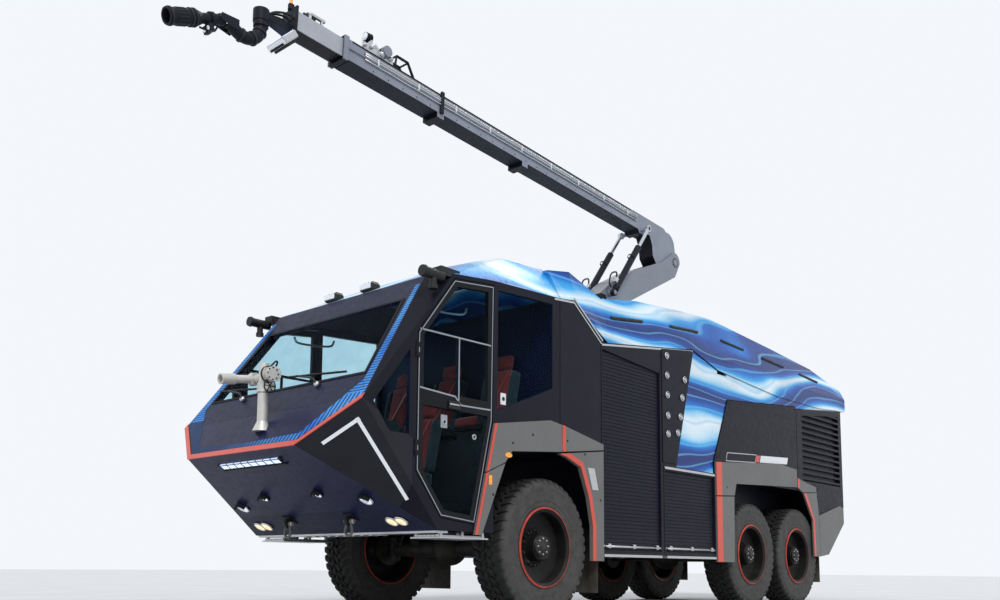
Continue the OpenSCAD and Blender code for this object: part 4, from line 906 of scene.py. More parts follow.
def shackles():
    """Bow shackles hanging from the tow lugs by their pins."""
    piece = Piece("tow_shackles", "chassis", "grey", "silver")
    half, drop = 0.040, 0.085
    for side in SIDES:
        eye = chin_at(0.280, 0.500 * side, 0.052)
        left = [eye + vec(0, -half, 0.0), eye + vec(0, -half, -drop * 0.5)]
        bow = arc_points(eye + vec(0, 0, -drop), (0, -1, 0), (0, 0, -1), half + 0.014, 0, 180, 14)
        right = [eye + vec(0, half, -drop * 0.5), eye + vec(0, half, 0.0)]
        piece.hose(left + bow + right, 0.0135, 10, steps=3)
        for dy in (-half, half):
            piece.lathe([(0.026, -0.012), (0.030, 0), (0.026, 0.012)], eye + vec(0, dy, 0), (0, 1, 0), 18)
        piece.lathe([(0.014, -0.068), (0.014, 0.062)], eye, (0, 1, 0), 14, 1)
        piece.hexagon(eye + vec(0, 0.060, 0), (0, 1, 0), 0.024, 0.018, 1)
    piece.done()


def step_treads():
    """Open lattice treads on the step frames under the doors, and cleats between them."""
    piece = Piece("step_treads", "chassis", "silver")
    y0, y1 = 1.035, 1.436
    for side in SIDES:
        for k in range(27):
            piece.block(at(0.955 + k * 0.024, (y0 + y1) / 2 * side, 0.826), (0.005, y1 - y0 - 0.06, 0.020),
                        bevel=0.001)
        for k in range(7):
            piece.block(at(1.267, lerp(y0 + 0.035, y1 - 0.035, k / 6) * side, 0.824), (0.640, 0.005, 0.016),
                        bevel=0.001)
    for k in range(10):
        piece.block(at(1.575, lerp(-0.60, 0.60, k / 9), 0.842), (0.10, 0.05, 0.012))
    piece.done()


# The marking bar on the body: its lower and upper edge, front and rear end, and slope
BAR_LOW, BAR_HIGH, BAR_FIRST, BAR_LAST, BAR_SLOPE = 2.045, 2.150, -3.985, -5.960, 0.058


def side_marks():
    """Amber markers, light plates, the blank marking bar and round caps on the side."""
    piece = Piece("side_marks", "chassis", "amber", "grey", "plastic", "white", "red", "silver", "black")
    out_y = SIDE_Y + 0.0242
    for side in SIDES:
        here, out = flank(side)
        turns = [TAU * k / 20 for k in range(20)]
        piece.plate([here(0.690 + 0.052 * math.cos(a), out_y, 1.668 + 0.026 * math.sin(a)) for a in turns],
                    out, 0.0055)
        piece.block(here(0.961, out_y - 0.001, 1.392), (0.045, 0.012, 0.095))
        light = ((-0.672, 1.655), (-0.80, 1.655), (-0.875, 1.41), (-0.76, 1.41))
        piece.plate([here(x, out_y, z) for x, z in light], out, 0.004, 5)
        y = (SIDE_Y + 0.0014) * side

        def bar(a, b, z0, z1, slot, lift=0.0):
            fall_a, fall_b = (a - BAR_FIRST) * BAR_SLOPE, (b - BAR_FIRST) * BAR_SLOPE
            corners = ((a, z0 - fall_a), (b, z0 - fall_b), (b - 0.04, z1 - fall_b), (a - 0.04, z1 - fall_a))
            piece.plate([at(x, y + lift * side, z) for x, z in corners], out, 0.0012, slot)

        bar(BAR_FIRST + 0.012, BAR_FIRST - 0.892, BAR_LOW - 0.012, BAR_HIGH + 0.012, 5)
        bar(BAR_FIRST, BAR_FIRST - 0.88, BAR_LOW, BAR_HIGH, 6, 0.0014)
        bar(BAR_FIRST - 0.90, BAR_FIRST - 1.02, BAR_LOW, BAR_HIGH, 4)
        bar(BAR_FIRST - 1.04, BAR_LAST, BAR_LOW, BAR_HIGH, 3)
        for x, z in ((0.03, 2.06), (-2.30, 1.83)):
            piece.dome(here(x, SIDE_Y, z), out, 0.020, 0.008, 18, 2)
        piece.block(here(0.750, SIDE_Y - 0.0030, 2.242), (0.080, 0.010, 0.120), slot=3)
        piece.dome(here(0.750, SIDE_Y + 0.0018, 2.242), out, 0.022, 0.006, 18, 2)
    piece.done()


DOOR_HOLE = ((1.960, 2.725), (1.960, 1.395), (1.630, 0.985), (1.165, 0.938), (0.905, 1.985), (0.905, 3.405),
             (1.478, 3.340))
# Ends of the pale seals round the door's panes
PANE_SEALS = (((1.930, 2.745), (0.945, 2.760)), ((1.405, 2.745), (1.405, 2.110)),
              ((0.945, 2.100), (1.370, 2.090)), ((1.370, 2.090), (1.455, 2.165)),
              ((1.455, 2.165), (1.925, 2.190)))


def closed_line(piece, points, width, normal, thick):
    """A strip of even width that follows a closed outline on its inner side."""
    pairs = list(zip(points, points[1:] + points[:1]))
    area = sum(p.x * q.z - q.x * p.z for p, q in pairs)
    turn = 1 if area > 0 else -1
    inner = []
    for i, (p, q) in enumerate(pairs):
        before, after = (p - points[i - 1]).normalized(), (q - p).normalized()
        n1, n2 = (vec(-way.z, 0, way.x) * turn for way in (before, after))
        mid = (n1 + n2).normalized()
        inner.append(p + mid * (width / max(0.3, mid.dot(n1))))
    piece.ribbon(points + points[:1], inner + inner[:1], normal, thick)


def door_details():
    """Edge seals, pane seals, handles, lock plates and an inner grab rail on both doors."""
    face = SIDE_Y + 0.0012
    for side, body in ((1, "door_left"), (-1, "door_right")):
        piece = Piece(body + "_trim", body, "seal", "rubber", "silver", "plastic")
        here, out = flank(side)
        middle = at(1.42, 0, 2.1)
        edge = []
        for x, z in DOOR_HOLE:
            p = here(x, face, z)
            edge.append(p + vec(middle.x - p.x, 0, middle.z - p.z).normalized() * 0.026)
        closed_line(piece, edge, 0.009, out, 0.002)
        for (x0, z0), (x1, z1) in PANE_SEALS:
            a, b = here(x0, face, z0), here(x1, face, z1)
            up = (b - a).normalized().cross(out) * 0.0075
            piece.ribbon([a - up, b - up], [a + up, b + up], out, 0.002)
        piece.block(here(1.470, face + 0.008, 2.075), (0.155, 0.016, 0.075), None, 3, 0.006)
        handle = ((1.405, 0.010), (1.42, 0.0190), (1.52, 0.0190), (1.535, 0.010))
        piece.tube([here(x, face + lift, 2.080) for x, lift in handle], 0.009, 8, 2)
        piece.block(here(1.600, SIDE_Y - 0.001, 1.905), (0.085, 0.008, 0.125), bevel=0.003)
        for x, z, r in ((1.600, 1.900, 0.030), (1.185, 1.800, 0.028)):
            lock = here(x, SIDE_Y + 0.0032, z)
            piece.lathe([(r, 0), (r, 0.006), (r * 0.75, 0.010), (r * 0.7, 0.004)], lock, out, 24, 2)
            piece.lathe([(r * 0.45, 0), (r * 0.45, 0.009)], lock, out, 16, 3)
        rail = ((1.93, 0.055, 1.55), (1.90, 0.11, 1.70), (1.90, 0.11, 2.15), (1.93, 0.055, 2.30))
        piece.hose([here(x, SIDE_Y - inset, z) for x, inset, z in rail], 0.012, slot=3, steps=6)
        piece.done()


# ---------------------------------------------------------------- cab inside


ROUNDING = 0.62
SEAM = 0.010
PLEAT = 0.004


def pillow(piece, centre, size, turn, crown=0.02, seams=(), slot=0, n=12, pleats=0):
    """A stuffed cushion: a rounded box with a crowned face and pressed seams across its width."""
    hx, hy, hz = half = tuple(v / 2 for v in size)
    radius = min(half) * ROUNDING
    cache = {}

    def vert(p):
        key = tuple(round(c, 4) for c in p)
        if key not in cache:
            inner = Vector([max(-h + radius, min(h - radius, c)) for c, h in zip(p, half)])
            rest = Vector(p) - inner
            q = inner + rest.normalized() * radius if rest.length > 1e-6 else Vector(p)
            fx, fy = 1 - (q.x / hx) ** 2, 1 - (q.y / hy) ** 2
            top = max(0.0, q.z / hz)
            q.z += top * crown * fx * fy
            for seam in seams:
                q.z -= top * SEAM * math.exp(-((q.y - seam) / SEAM) ** 2)
            if pleats:
                q.z += top * PLEAT * fx * abs(math.sin(math.pi * pleats * (q.x / hx + 1) / 2))
            cache[key] = piece.bm.verts.new(centre + turn @ q)
        return cache[key]

    steps = [-1 + 2 * k / n for k in range(n + 1)]
    cells = list(itertools.product(range(n), repeat=2))
    for axis in range(3):
        a, b = [k for k in range(3) if k != axis]
        for sign in SIDES:
            for i, j in cells:
                quad = []
                for u, v in ((i, j), (i + 1, j), (i + 1, j + 1), (i, j + 1)):
                    p = [0, 0, 0]
                    p[axis], p[a], p[b] = sign * half[axis], steps[u] * half[a], steps[v] * half[b]
                    quad.append(vert(p))
                if len(set(quad)) > 2:
                    face = piece.bm.faces.new(quad)
                    face.smooth = True
                    face.material_index = slot


SEATS = ((1.600, 0.560, 1.190), (1.600, -0.560, 1.190), (0.640, 0.820, 1.840), (0.640, -0.820, 1.840),
         (0.640, 0.0, 1.840))
RECLINE = math.radians(-12)
UPRIGHT = math.radians(90)


def seats():
    """Five seats: crowned cloth cushions with bolsters and seams, on moulded pedestals."""
    cloth = Piece("seat_cushions", "chassis", "cloth", "cloth_dark")
    stand = Piece("seat_frames", "chassis", "plastic", "steel", "red")
    lean = Matrix.Rotation(RECLINE, 3, "Y")
    flat = Matrix.Identity(3)
    back_turn = lean @ Matrix.Rotation(UPRIGHT, 3, "Y")
    for x, y, z in SEATS:
        base = at(x, y, z)
        pivot = base + vec(-0.44, 0, 0.290)

        def on_back(x, y, z):
            return pivot + lean @ vec(x, y, z)

        stand.block(base + vec(-0.27, 0, 0.080), (0.40, 0.38, 0.158), bevel=0.02)
        stand.block(base + vec(-0.27, 0, 0.172), (0.46, 0.44, 0.024), None, 1, 0.006)
        for side in SIDES:
            stand.block(base + vec(-0.27, 0.19 * side, 0.012), (0.44, 0.03, 0.022), slot=1)
        pillow(cloth, base + vec(-0.26, 0, 0.243), (0.505, 0.34, 0.110), flat, 0.012, (-0.10, 0.10), pleats=4)
        for side in SIDES:
            pillow(cloth, base + vec(-0.26, 0.205 * side, 0.240), (0.505, 0.085, 0.118), flat, 0.010, slot=1,
                   n=8)
        pillow(cloth, on_back(-0.055, 0, 0.330), (0.600, 0.330, 0.100), back_turn, 0.012, (-0.095, 0.095),
               pleats=5)
        for side in SIDES:
            pillow(cloth, on_back(-0.050, 0.200 * side, 0.320), (0.560, 0.075, 0.112), back_turn, 0.010,
                   slot=1, n=8)
        stand.block(on_back(-0.108, 0, 0.330), (0.012, 0.42, 0.56), lean, 0, 0.005)
        head = at(x - 0.580, y, z + 0.915)
        pillow(cloth, head + lean @ vec(-0.038, 0, 0.085), (0.160, 0.250, 0.080), back_turn, 0.010, n=8)
        for side in SIDES:
            stand.tube([on_back(-0.055, 0.05 * side, 0.60), on_back(-0.055, 0.05 * side, 0.70)], 0.006, 8, 1)
        belt = spline([on_back(0.010, 0.155, 0.60), on_back(0.020, 0.02, 0.32), on_back(0.014, -0.14, 0.06)])
        edge = vec(0, 0.022, 0.010)
        stand.ribbon([p + edge for p in belt], [p - edge for p in belt], (1, 0, 0.2), 0.002, 2)
    cushions = cloth.done(replaces=("seats",))
    stand.done()


def cab_inside():
    """Display panels, switch rows and grab rails under the roof."""
    piece = Piece("cab_controls", "chassis", "plastic", "lens_blue", "silver", "lens_red", "black")
    tilt = Matrix.Rotation(math.radians(-52), 3, "Y")
    for y, w in ((0.56, 0.34), (0.0, 0.30), (-0.56, 0.30)):
        centre = at(2.10, y, 1.93)
        piece.block(centre, (0.19, w, 0.022), tilt, 0, 0.008)
        piece.block(centre + tilt @ vec(0, 0, 0.0125), (0.155, w - 0.05, 0.002), tilt, 1, 0.0008)
    for row in range(2):
        for k in range(9):
            piece.block(at(2.02 - 0.045 * row, -0.36 + k * 0.09, 1.905 + 0.002 * row), (0.022, 0.05, 0.016),
                        None, (2, 0, 0, 3)[k % 4], 0.003)
    for side in SIDES:
        rail = ((1.50, 3.16), (1.42, 3.10), (1.00, 3.14), (0.92, 3.22))
        piece.hose([at(x, 1.10 * side, z) for x, z in rail], 0.013, 10, 2, 6)
    piece.done()


# ---------------------------------------------------------------- wheels

NUTS = 10
NUT_RING = 0.186
CAP_BOLTS = 8
HUB_CAP = [(0.112, 0), (0.112, 0.010), (0.100, 0.020), (0.062, 0.024), (0.056, 0.034), (0.0, 0.038)]


def wheel_details():
    """Nuts, hub caps and valves, one piece a wheel."""
    for key in WHEELS:
        piece = Piece("hub_" + key, "wheel_" + key, "steel", "plastic", "silver")
        low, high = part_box("tyre_" + key)
        centre = (low + high) / 2
        tree = surface_of("rim_" + key)
        axis = vec(0, 1 if centre.y > 0 else -1, 0)

        def face(angle, radius):
            p = centre + vec(math.cos(angle) * radius, 0, math.sin(angle) * radius)
            return on_surface(tree, p, -axis, 0.0006, 0.6)

        for k in range(NUTS):
            foot = face(TAU * (k + 0.5) / NUTS, NUT_RING)
            piece.lathe([(0.024, 0), (0.024, 0.006), (0.020, 0.008)], foot, axis, 14)
            piece.hexagon(foot + axis * 0.007, axis, 0.0185, 0.026)
        cap = face(0.3, 0.04)
        piece.lathe(HUB_CAP, cap, axis, 36)
        for k in range(CAP_BOLTS):
            piece.hexagon(cap + turned(TAU * k / CAP_BOLTS, 0.084) + axis * 0.021, axis, 0.010, 0.010, 2)
        foot = face(1.1, 0.300)
        piece.tube([foot, foot + axis * 0.045], 0.006, 8, 1)
        piece.done()


# Place along and across, radius and length of each air tank
TANKS = ((-1.85, 0.62, 0.135, 0.70), (-1.85, -0.62, 0.135, 0.70), (-2.75, 0.62, 0.120, 0.62))


def underbody():
    """Air tanks with straps, the propeller shaft and brake hoses under the frame."""
    piece = Piece("underbody_parts", "chassis", "steel", "plastic", "rubber", "silver")
    along = (1, 0, 0)
    for x, y, r, length in TANKS:
        piece.lathe([(0.0, 0), (r * 0.75, 0.012), (r, 0.05), (r, length - 0.05), (r * 0.75, length - 0.012),
                     (0.0, length)], at(x, y, 0.78), along, 28, 1)
        for t in (0.15, length - 0.20):
            piece.lathe([(r + 0.004, 0), (r + 0.004, 0.035)], at(x + t, y, 0.78), along, 28, 3)
    shaft = [at(-0.20, 0, 0.80), at(-4.35, 0, 0.78)]
    piece.tube(shaft, 0.055, 16)
    for t in (0.02, 0.33, 0.66, 0.98):
        piece.lathe([(0.09, -0.05), (0.09, 0.05)], lerp(*shaft, t), along, 16)
    hose = ((0.30, 0.30, 1.05), (0.34, 0.42, 0.92), (0.22, 0.62, 0.80), (0.12, 0.80, 0.86))
    for side in SIDES:
        piece.hose([at(x, y * side, z) for x, y, z in hose], 0.012, slot=2)
    piece.done()


# ---------------------------------------------------------------- body

BUTTONS = ((-2.420, 3.260), (-2.420, 3.000), (-2.425, 2.745), (-2.430, 2.480), (-2.430, 2.240),
           (-2.860, 3.010), (-2.790, 2.760), (-2.740, 2.500), (-2.670, 2.280))
SHUTTER_RAILS = ((-2.240, -1.010), (-3.610, -2.360))
RAIL_Z = 0.752
# Rear and front edge, foot and top of each shutter's frame
SHUTTER_FRAMES = ((-2.262, -0.988, 0.728, 3.060), (-3.632, -2.338, 0.728, 1.777))
ROOF_STRIP = ((-0.10, 3.50), (-0.455, 3.535), (-1.000, 3.150), (-3.10, 3.450))
BOLTED_PANEL = ((-3.72, 2.06), (-4.10, 2.865), (-6.30, 3.075), (-6.30, 1.83), (-3.72, 1.83))
PANEL_BOLT_GAP = 0.32
LOOSE_BOLTS = ((-0.15, 2.05), (-0.15, 2.6), (-0.15, 3.1), (-0.9, 3.05), (-0.6, 3.35), (-0.9, 1.9))


def body_details():
    """Button bezels, rails with brackets, shutter frames, a bright strip and panel bolts."""
    piece = Piece("body_fittings", "chassis", "silver", "black", "steel", "plastic", "seal")
    bezel = [(0.0345, 0), (0.046, 0), (0.046, 0.010), (0.040, 0.016), (0.0345, 0.015)]
    frame_y = SIDE_Y + 0.0025
    for side in SIDES:
        here, out = flank(side)
        for x, z in BUTTONS:
            c = here(x, SIDE_Y + 0.0082, z)
            piece.lathe(bezel, c, out, 28, closed=True)
            piece.dome(c + out * 0.0122, out, 0.024, 0.007, 20)
        for x0, x1 in SHUTTER_RAILS:
            piece.block(here((x0 + x1) / 2, SIDE_Y - 0.012, RAIL_Z + 0.03), (x1 - x0 - 0.03, 0.018, 0.026))
            piece.tube([here(x, SIDE_Y + 0.012, RAIL_Z + 0.028) for x in (x0 + 0.03, x1 - 0.03)], 0.013, 12)
            for k in range(3):
                middle = lerp(at(x0 + 0.10, 0, RAIL_Z + 0.034), at(x1 - 0.10, 0, RAIL_Z + 0.034), k / 2)
                piece.block(middle + out * (SIDE_Y + 0.008), (0.055, 0.030, 0.052), bevel=0.005)
                piece.block(middle + out * (SIDE_Y + 0.020) + vec(0.05, 0, 0.012), (0.030, 0.012, 0.020),
                            None, 3, 0.003)
        for x0, x1, z0, z1 in SHUTTER_FRAMES:
            for x, top in ((x0, z1), (x1, min(z1 + 0.085, 3.15))):
                piece.block(here(x, frame_y, (z0 + top) / 2), (0.020, 0.004, top - z0), None, 1, 0.001)
            piece.block(here((x0 + x1) / 2, frame_y, z0), (x1 - x0, 0.004, 0.018), None, 1, 0.001)
        strip = [here(x, SIDE_Y + 0.001, z) for x, z in ROOF_STRIP]
        piece.ribbon(strip, [p - vec(0, 0, 0.022) for p in strip], out, 0.003)
        panel = [here(x, SIDE_Y + 0.0008, z) for x, z in BOLTED_PANEL]
        for p, q in zip(panel, panel[1:] + panel[:1]):
            count = max(2, int((q - p).length / PANEL_BOLT_GAP))
            for k in range(count):
                piece.dome(lerp(p, q, k / count), out, 0.009, 0.004, 10, 2)
        for x, z in LOOSE_BOLTS:
            piece.dome(at(x, SIDE_Y * side + 0.0002 * side, z), out, 0.010, 0.004, 10, 2)
    piece.done()


FENDER_BOLTS = ((0.62, 1.80), (0.30, 1.92), (-0.30, 1.92), (-0.62, 1.80), (-0.92, 1.30), (0.92, 1.25),
                (-3.95, 1.66), (-4.40, 1.72), (-5.20, 1.72), (-6.00, 1.72), (-6.60, 1.62))


def fender_bolts():
    """Bolt heads dropped onto the fenders' sides."""
    piece = Piece("fender_bolts", "chassis", "steel")
    tree = surface_of("front_fenders", "rear_fenders")
    for side in SIDES:
        here, out = flank(side)
        for x, z in FENDER_BOLTS:
            p = here(x, 1.40, z)
            hit = on_surface(tree, p, -out, 0.0004, 0.6)
            if abs(hit.y - p.y) > 0.02:
                piece.dome(hit, out, 0.013, 0.0048)
    piece.done()


def rear_details():
    """Lamp lenses, grab rails and a row of treads on the rear face."""
    piece = Piece("rear_fittings", "chassis", "lens_red", "amber", "lens", "silver")
    rail = ((-8.262, 2.05), (-8.330, 2.08), (-8.330, 2.72), (-8.262, 2.75))
    for side in SIDES:
        for slot, z in enumerate((1.83, 1.91, 1.99)):
            piece.lathe([(0.031, 0.0005), (0.031, 0.008), (0.020, 0.014), (0.0, 0.015)],
                        at(-8.280, 1.070 * side, z), (-1, 0, 0), 26, slot)
        piece.hose([at(x, 0.870 * side, z) for x, z in rail], 0.014, 10, 3, 5)
    for k in range(14):
        piece.block(at(-8.280, -1.15 + 2.30 * k / 13, 1.604), (0.10, 0.10, 0.006), None, 3, 0.002)
    piece.done()


# ---------------------------------------------------------------- turret, boom and monitors

BOOM_HALF, BOOM_LOW, BOOM_TOP = 0.125, 0.242, 0.482
# Where the gear on top of the boom's end starts
GEAR_X = 6.150
# Its slanting bars as foot and tip, each along and up, and its discs as place along, height and radius
GEAR_BARS = ((0.34, 0.03, 0.22, 0.17), (0.06, 0.04, 0.18, 0.15), (-0.05, 0.03, 0.03, 0.13))
GEAR_DISCS = ((-0.02, 0.060, 0.030), (0.10, 0.055, 0.036), (0.26, 0.065, 0.026), (0.35, 0.045, 0.020))


def boom_details():
    """Side hoses, clamps, edge lines and bolt rows on the outer boom, and the gear on its end."""
    piece = Piece("boom_lines", "upper_boom", "hose", "silver", "boom_dark", "plastic", "lens")
    half, low, top, gear = BOOM_HALF, BOOM_LOW, BOOM_TOP, GEAR_X

    def on_top(x, y, z):
        return boom_at(gear + x, y, top + z)

    for side in SIDES:
        for dz, r in ((0.151, 0.0115), (0.176, 0.0115), (0.106, 0.009)):
            hose = [boom_at(1.10 + 0.2 * k, (half + 0.0135) * side, low + dz) for k in range(28)]
            piece.tube([p + BOOM_UP * 0.002 * math.sin(2.3 * k) for k, p in enumerate(hose)], r, 8, 1)
        for k in range(9):
            piece.block(boom_at(1.35 + 0.62 * k, (half + 0.014) * side, low + 0.150), (0.022, 0.030, 0.082),
                        BOOM_TURN, 1, 0.003)
        piece.block(boom_at(5.305, (half + 0.016) * side, 0.372), (0.050, 0.034, 0.275), BOOM_TURN, 2)
        piece.block(boom_at(3.95, (half + 0.002) * side, top - 0.010), (5.45, 0.005, 0.018), BOOM_TURN, 2,
                    0.001)
        for k in range(24):
            piece.dome(boom_at(1.30 + 0.22 * k, half * side, low + 0.030), (0, side, 0), 0.008, 0.004, 10, 2)
    for x0, x1 in ((0.75, 3.66), (3.81, 5.23), (5.38, 6.70)):
        piece.block(boom_at((x0 + x1) / 2, 0, low - 0.003), (x1 - x0, 2 * half - 0.004, 0.004), BOOM_TURN, 2,
                    0.001)
    piece.lathe([(0.046, 0.0), (0.046, 0.006), (0.0, 0.010)], on_top(0.263, 0, 0.240), BOOM_ALONG, 28, 4)
    feed = ((-0.02, -0.04, 0.09), (-0.12, -0.06, 0.14), (-0.26, -0.03, 0.10), (-0.50, -0.03, 0.02),
            (-0.9, -0.04, 0.012))
    piece.hose([on_top(*p) for p in feed], 0.013)
    for k in range(2):
        for side in SIDES:
            piece.block(boom_at(gear + 0.12 + 0.07 * k, 0.085 * side, top + 0.035), (0.020, 0.022, 0.065),
                        BOOM_TURN, 1, 0.003)
    piece.block(on_top(0.155, 0, 0.075), (0.13, 0.20, 0.020), BOOM_TURN, 1)
    piece.tube([on_top(0.10, 0.10, 0.02), on_top(0.02, 0.10, 0.15)], 0.012, 8, 1)
    for side in SIDES:
        piece.block(on_top(0.16, 0.112 * side, 0.040), (0.46, 0.012, 0.080), BOOM_TURN, 1)
        for x0, h0, x1, h1 in GEAR_BARS:
            foot, tip = on_top(x0, 0.100 * side, h0), on_top(x1, 0.080 * side, h1)
            piece.block((foot + tip) / 2, ((tip - foot).length, 0.036, 0.014),
                        frame_turn(tip - foot, (0, side, 0)), 1, 0.003)
        for dx, h, r in GEAR_DISCS:
            piece.lathe([(r, 0.0), (r, 0.018), (r * 0.6, 0.024), (r * 0.55, 0.034), (0.0, 0.036)],
                        on_top(dx, 0.117 * side, h), (0, side, 0), 20, 1)
    for y, lift in ((0.055, 0.10), (0.020, 0.13), (-0.030, 0.11)):
        piece.hose([on_top(-0.10, y, 0.03), on_top(-0.03, y * 1.3, lift),
                    boom_at(gear + 0.16, y, top + lift + 0.02), on_top(0.34, y * 0.8, 0.06)], 0.010, slot=1)
    for y, r in ((-0.06, 0.014), (0.06, 0.010)):
        piece.tube([on_top(-0.46, y, 0.022), on_top(-2.2, y, 0.022)], r, 8, 1)
    for k in range(3):
        piece.block(boom_at(gear - 0.32 - 0.2 * k, 0.03, top + 0.022), (0.09, 0.07, 0.04), BOOM_TURN, 3,
                    0.006)
    piece.done()


def knuckle_details():
    """Hose loops beside the boom's knuckle and bolt circles on the lower arm."""
    piece = Piece("arm_hoses", "lower_arm", "hose", "silver", "steel")
    for y, bulge in ((-0.055, 0.0), (-0.015, 0.025), (0.025, 0.012), (0.065, 0.030)):
        piece.hose([at(-4.30, y, 5.06), at(-4.60, y, 5.20), at(-4.80 - bulge, y, 5.33),
                    at(-4.905 - bulge, y, 5.50)], 0.014)
    for side in SIDES:
        for k in range(10):
            piece.hexagon(at(KNUCKLE_X, 0.164 * side, KNUCKLE_Z) + turned(TAU * k / 10, 0.070), (0, side, 0),
                          0.008, 0.008, 2)
    piece.done()


def barrel_details():
    """Hose loops, gland rings and valve blocks on the lift barrels."""
    piece = Piece("barrel_fittings", "lift_barrels", "hose", "silver", "steel", "rubber")
    low, high = at(-3.031, 0, 4.4795), at(-3.895, 0, 5.700)
    way = vec(high.x - low.x, 0, high.z - low.z).normalized()
    out = vec(way.z, 0, -way.x)
    for side in SIDES:
        foot = low + vec(0, 0.250 * side, 0)
        for t in (0.10, 0.78):
            piece.lathe([(0.0490, 0), (0.054, 0.002), (0.054, 0.024), (0.0490, 0.026)], foot + way * t, way,
                        28, 2, closed=True)
        piece.block(foot + way * 0.20 + out * 0.062, (0.05, 0.05, 0.09), frame_turn(out, way), 1, 0.006)
        loop = ((0.24, 0.072), (0.30, 0.13), (0.18, 0.20), (0.04, 0.16), (0.02, 0.085))
        piece.hose([foot + way * a + out * b for a, b in loop], 0.012)
    piece.done()


def head_gear():
    """Work lamp panel, rack, beacon, cables and a bolt row on the inner boom's head."""
    head = Piece("boom_head_gear", "inner_boom", "plastic", "lens_led", "amber", "hose", "silver", "lens")
    panel = frame_turn((0.70, 0, -0.71), (0.71, 0, 0.70))
    box = boom_at(7.470, 0, 0.118)
    head.block(box, (0.205, 0.300, 0.075), panel, 4, 0.010)
    head.block(box - panel @ vec(0, 0, 0.052), (0.150, 0.230, 0.030), panel, 0, 0.006)
    head.block(box + panel @ vec(0, 0, 0.039), (0.175, 0.270, 0.006), panel, 1, 0.002)
    head.block(box + panel @ vec(0.105, 0, 0), (0.006, 0.270, 0.055), panel, 5, 0.002)
    top = boom_at(7.12, 0, 0.452)
    for dx, y, h in ((-0.06, 0.075, 0.10), (0.09, 0.075, 0.07), (0.18, -0.06, 0.12)):
        head.block(top + BOOM_ALONG * dx + vec(0, y, 0) + BOOM_UP * h / 2, (0.022, 0.030, h), BOOM_TURN, 4,
                   0.003)
    head.block(top + BOOM_UP * 0.085 + vec(0, 0.075, 0), (0.200, 0.040, 0.030), BOOM_TURN, 4, 0.005)
    head.lathe([(0.030, 0), (0.038, 0.01), (0.038, 0.10), (0.020, 0.11), (0.020, 0.14)],
               top + BOOM_UP * 0.115 + BOOM_ALONG * -0.03 + vec(0, -0.02, 0), BOOM_ALONG, 20)
    head.lathe([(0.030, 0), (0.030, 0.020), (0.024, 0.024), (0.022, 0.065), (0.0, 0.072)],
               boom_at(7.400, 0, 0.552), BOOM_UP, 22, 2)
    for y in (-0.060, 0.0, 0.060):
        head.hose([boom_at(7.395, y, 0.36), boom_at(7.46, y * 1.1, 0.40), boom_at(7.60, y * 0.8, 0.36),
                   boom_at(7.68, y * 0.5, 0.30)], 0.012, slot=3, steps=6)
    for k in range(5):
        head.lathe([(0.010, 0), (0.010, 0.010), (0.006, 0.012)], boom_at(7.4125, -0.09 + 0.045 * k, 0.24),
                   BOOM_ALONG, 6, 4)
    head.done()


def nozzle_gear():
    """Clamp rings, grip bars, twin lenses and a cable on the drooping nozzle."""
    nozzle = Piece("tip_nozzle_gear", "tip_nozzle", "plastic", "lens", "silver", "hose", "red")
    tip = at(3.270, 0, 5.790)
    droop = math.radians(22)
    along = vec(math.cos(droop), 0, -math.sin(droop))
    down = vec(-math.sin(droop), 0, -math.cos(droop))
    r = 0.0815
    for t in (0.300, 0.340, 0.560):
        nozzle.lathe([(r, 0), (r + 0.006, 0.003), (r + 0.006, 0.020), (r, 0.023)], tip + along * t, along, 32,
                     closed=True)
    for k in range(16):
        a = TAU * k / 16
        out = down * math.cos(a) + vec(0, 1, 0) * math.sin(a)
        nozzle.block(tip + along * 0.455 + out * 0.0810, (0.11, 0.010, 0.006), frame_turn(along, out),
                     bevel=0.002)
    for y in (-0.034, 0.034):
        nozzle.lathe([(0.020, 0), (0.020, 0.004), (0.0, 0.006)],
                     tip + along * 0.1965 + down * 0.098 + vec(0, y, 0), along, 20, 1)
    cable = ((0.05, 0.06), (0.12, 0.115), (0.22, 0.10), (0.27, 0.085))
    nozzle.hose([tip + along * a + down * b for a, b in cable], 0.010, slot=3, steps=6)
    nozzle.done()


def elbow_gear():
    """Ribs round the curved pipe behind the nozzle."""
    elbow = Piece("elbow_gear", "tip_elbow", "plastic", "silver", "hose", "lens")
    centre = at(2.820 + 0.190, 0, 5.920)
    for degrees in (200, 240, 280, 318):
        a = math.radians(degrees)
        elbow.lathe([(0.0625, -0.012), (0.072, -0.010), (0.072, 0.010), (0.0625, 0.012)],
                    centre + turned(a, 0.190), vec(-math.sin(a), 0, math.cos(a)), 28, closed=True)
    elbow.done()


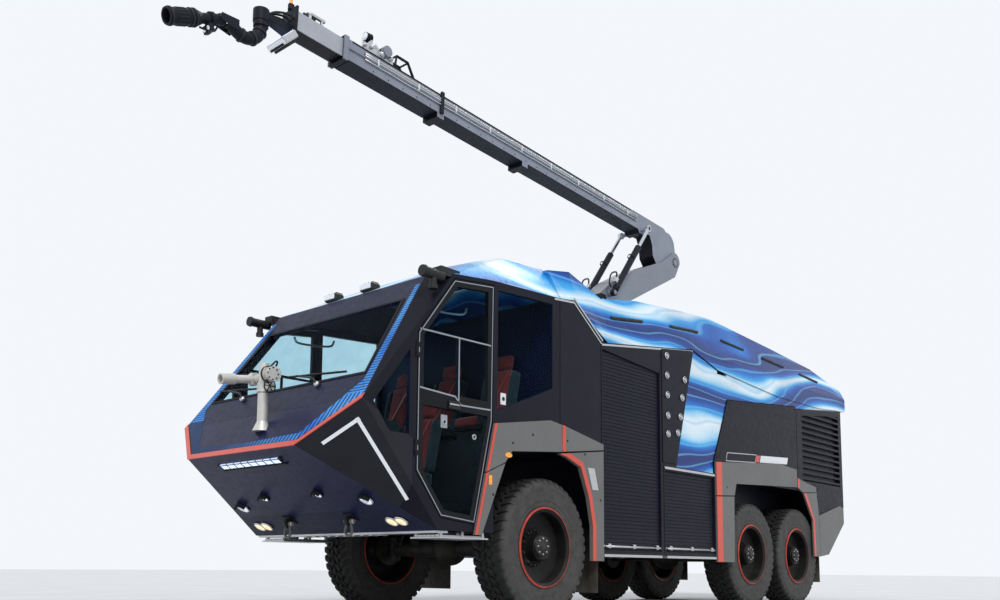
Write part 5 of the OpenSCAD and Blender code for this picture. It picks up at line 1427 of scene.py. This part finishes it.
def monitor_details():
    """Hand wheel, bolts and a cable on the windscreen monitor."""
    foot_low, foot_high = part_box("monitor_base")
    x, y = (foot_low.x + foot_high.x) / 2, (foot_low.y + foot_high.y) / 2
    base_z = 2.175
    piece = Piece("monitor_gear", "monitor_head", "monitor", "plastic", "hose", "steel")
    across = (0, 1, 0)
    hub = vec(x, y, base_z + 0.160)
    piece.lathe([(0.0745, 0.092), (0.082, 0.094), (0.082, 0.112), (0.0745, 0.114)], hub, across, 30, 1,
                closed=True)
    for k in range(8):
        a = TAU * k / 8
        piece.hexagon(hub + vec(math.cos(a) * 0.058, 0.178, math.sin(a) * 0.058), across, 0.008, 0.008, 3)
    wheel = vec(x, y + 0.134, base_z + 0.046)
    piece.tube(arc_points(wheel, (1, 0, 0), (0, 0, 1), 0.062, 0, 360, 28), 0.007, 8, 1)
    for degrees in (0, 60, 120):
        spoke = turned(math.radians(degrees), 0.060)
        piece.tube([wheel - spoke, wheel + spoke], 0.005, 6, 1)
    cable = ((0, 0.13, 0.072), (-0.05, 0.15, 0.13), (-0.12, 0.06, 0.12), (-0.075, 0.0, 0.02),
             (-0.062, 0.0, -0.06))
    piece.hose([hub + vec(*p) for p in cable], 0.009, slot=2)
    piece.done()


def turret_details():
    """Bolt ring on the low deck of the turning base."""
    piece = Piece("turret_gear", "turret", "steel", "hose", "plastic", "amber")
    tree = surface_of("turret")
    for k in range(24):
        a = TAU * k / 24
        above = at(-2.500 + 0.33 * math.cos(a), 0.33 * math.sin(a), 4.3)
        hit = on_surface(tree, above, (0, 0, -1), 0.0004, 0.6)
        if hit.z < 4.25:
            piece.hexagon(hit, (0, 0, 1), 0.016, 0.014)
    piece.done()


# ---------------------------------------------------------------- build

FLOOR_HALF = 90


def make_floor():
    """A plain pale floor, for the pictures only."""
    corners = [(-FLOOR_HALF, -FLOOR_HALF), (FLOOR_HALF, -FLOOR_HALF), (FLOOR_HALF, FLOOR_HALF),
               (-FLOOR_HALF, FLOOR_HALF)]
    mesh = bpy.data.meshes.new("floor")
    mesh.from_pydata([(x, y, 0) for x, y in corners], [], [(0, 1, 2, 3)])
    s = Shader("floor")
    s.put({"Base Color": s.patches((0.62, 0.63, 0.64), (0.68, 0.69, 0.70), 0.8, 6), "Roughness": 0.9})
    mesh.materials.append(s.mat)
    floor = bpy.data.objects.new("floor", mesh)
    bpy.context.scene.collection.objects.link(floor)


for step in (
    make_camera, make_world, make_lamps, make_materials, dress_frame, make_tyres,
    nose_marks, ticked_bands, wipers, screen_border, roof_lamps, lamp_rings, shackles, step_treads,
    side_marks, door_details, seats, cab_inside, wheel_details, underbody, body_details, fender_bolts,
    rear_details, boom_details, knuckle_details, barrel_details, head_gear, nozzle_gear, elbow_gear,
    monitor_details, turret_details, make_floor,
):
    step()

bpy.context.scene.view_settings.view_transform = "Standard"
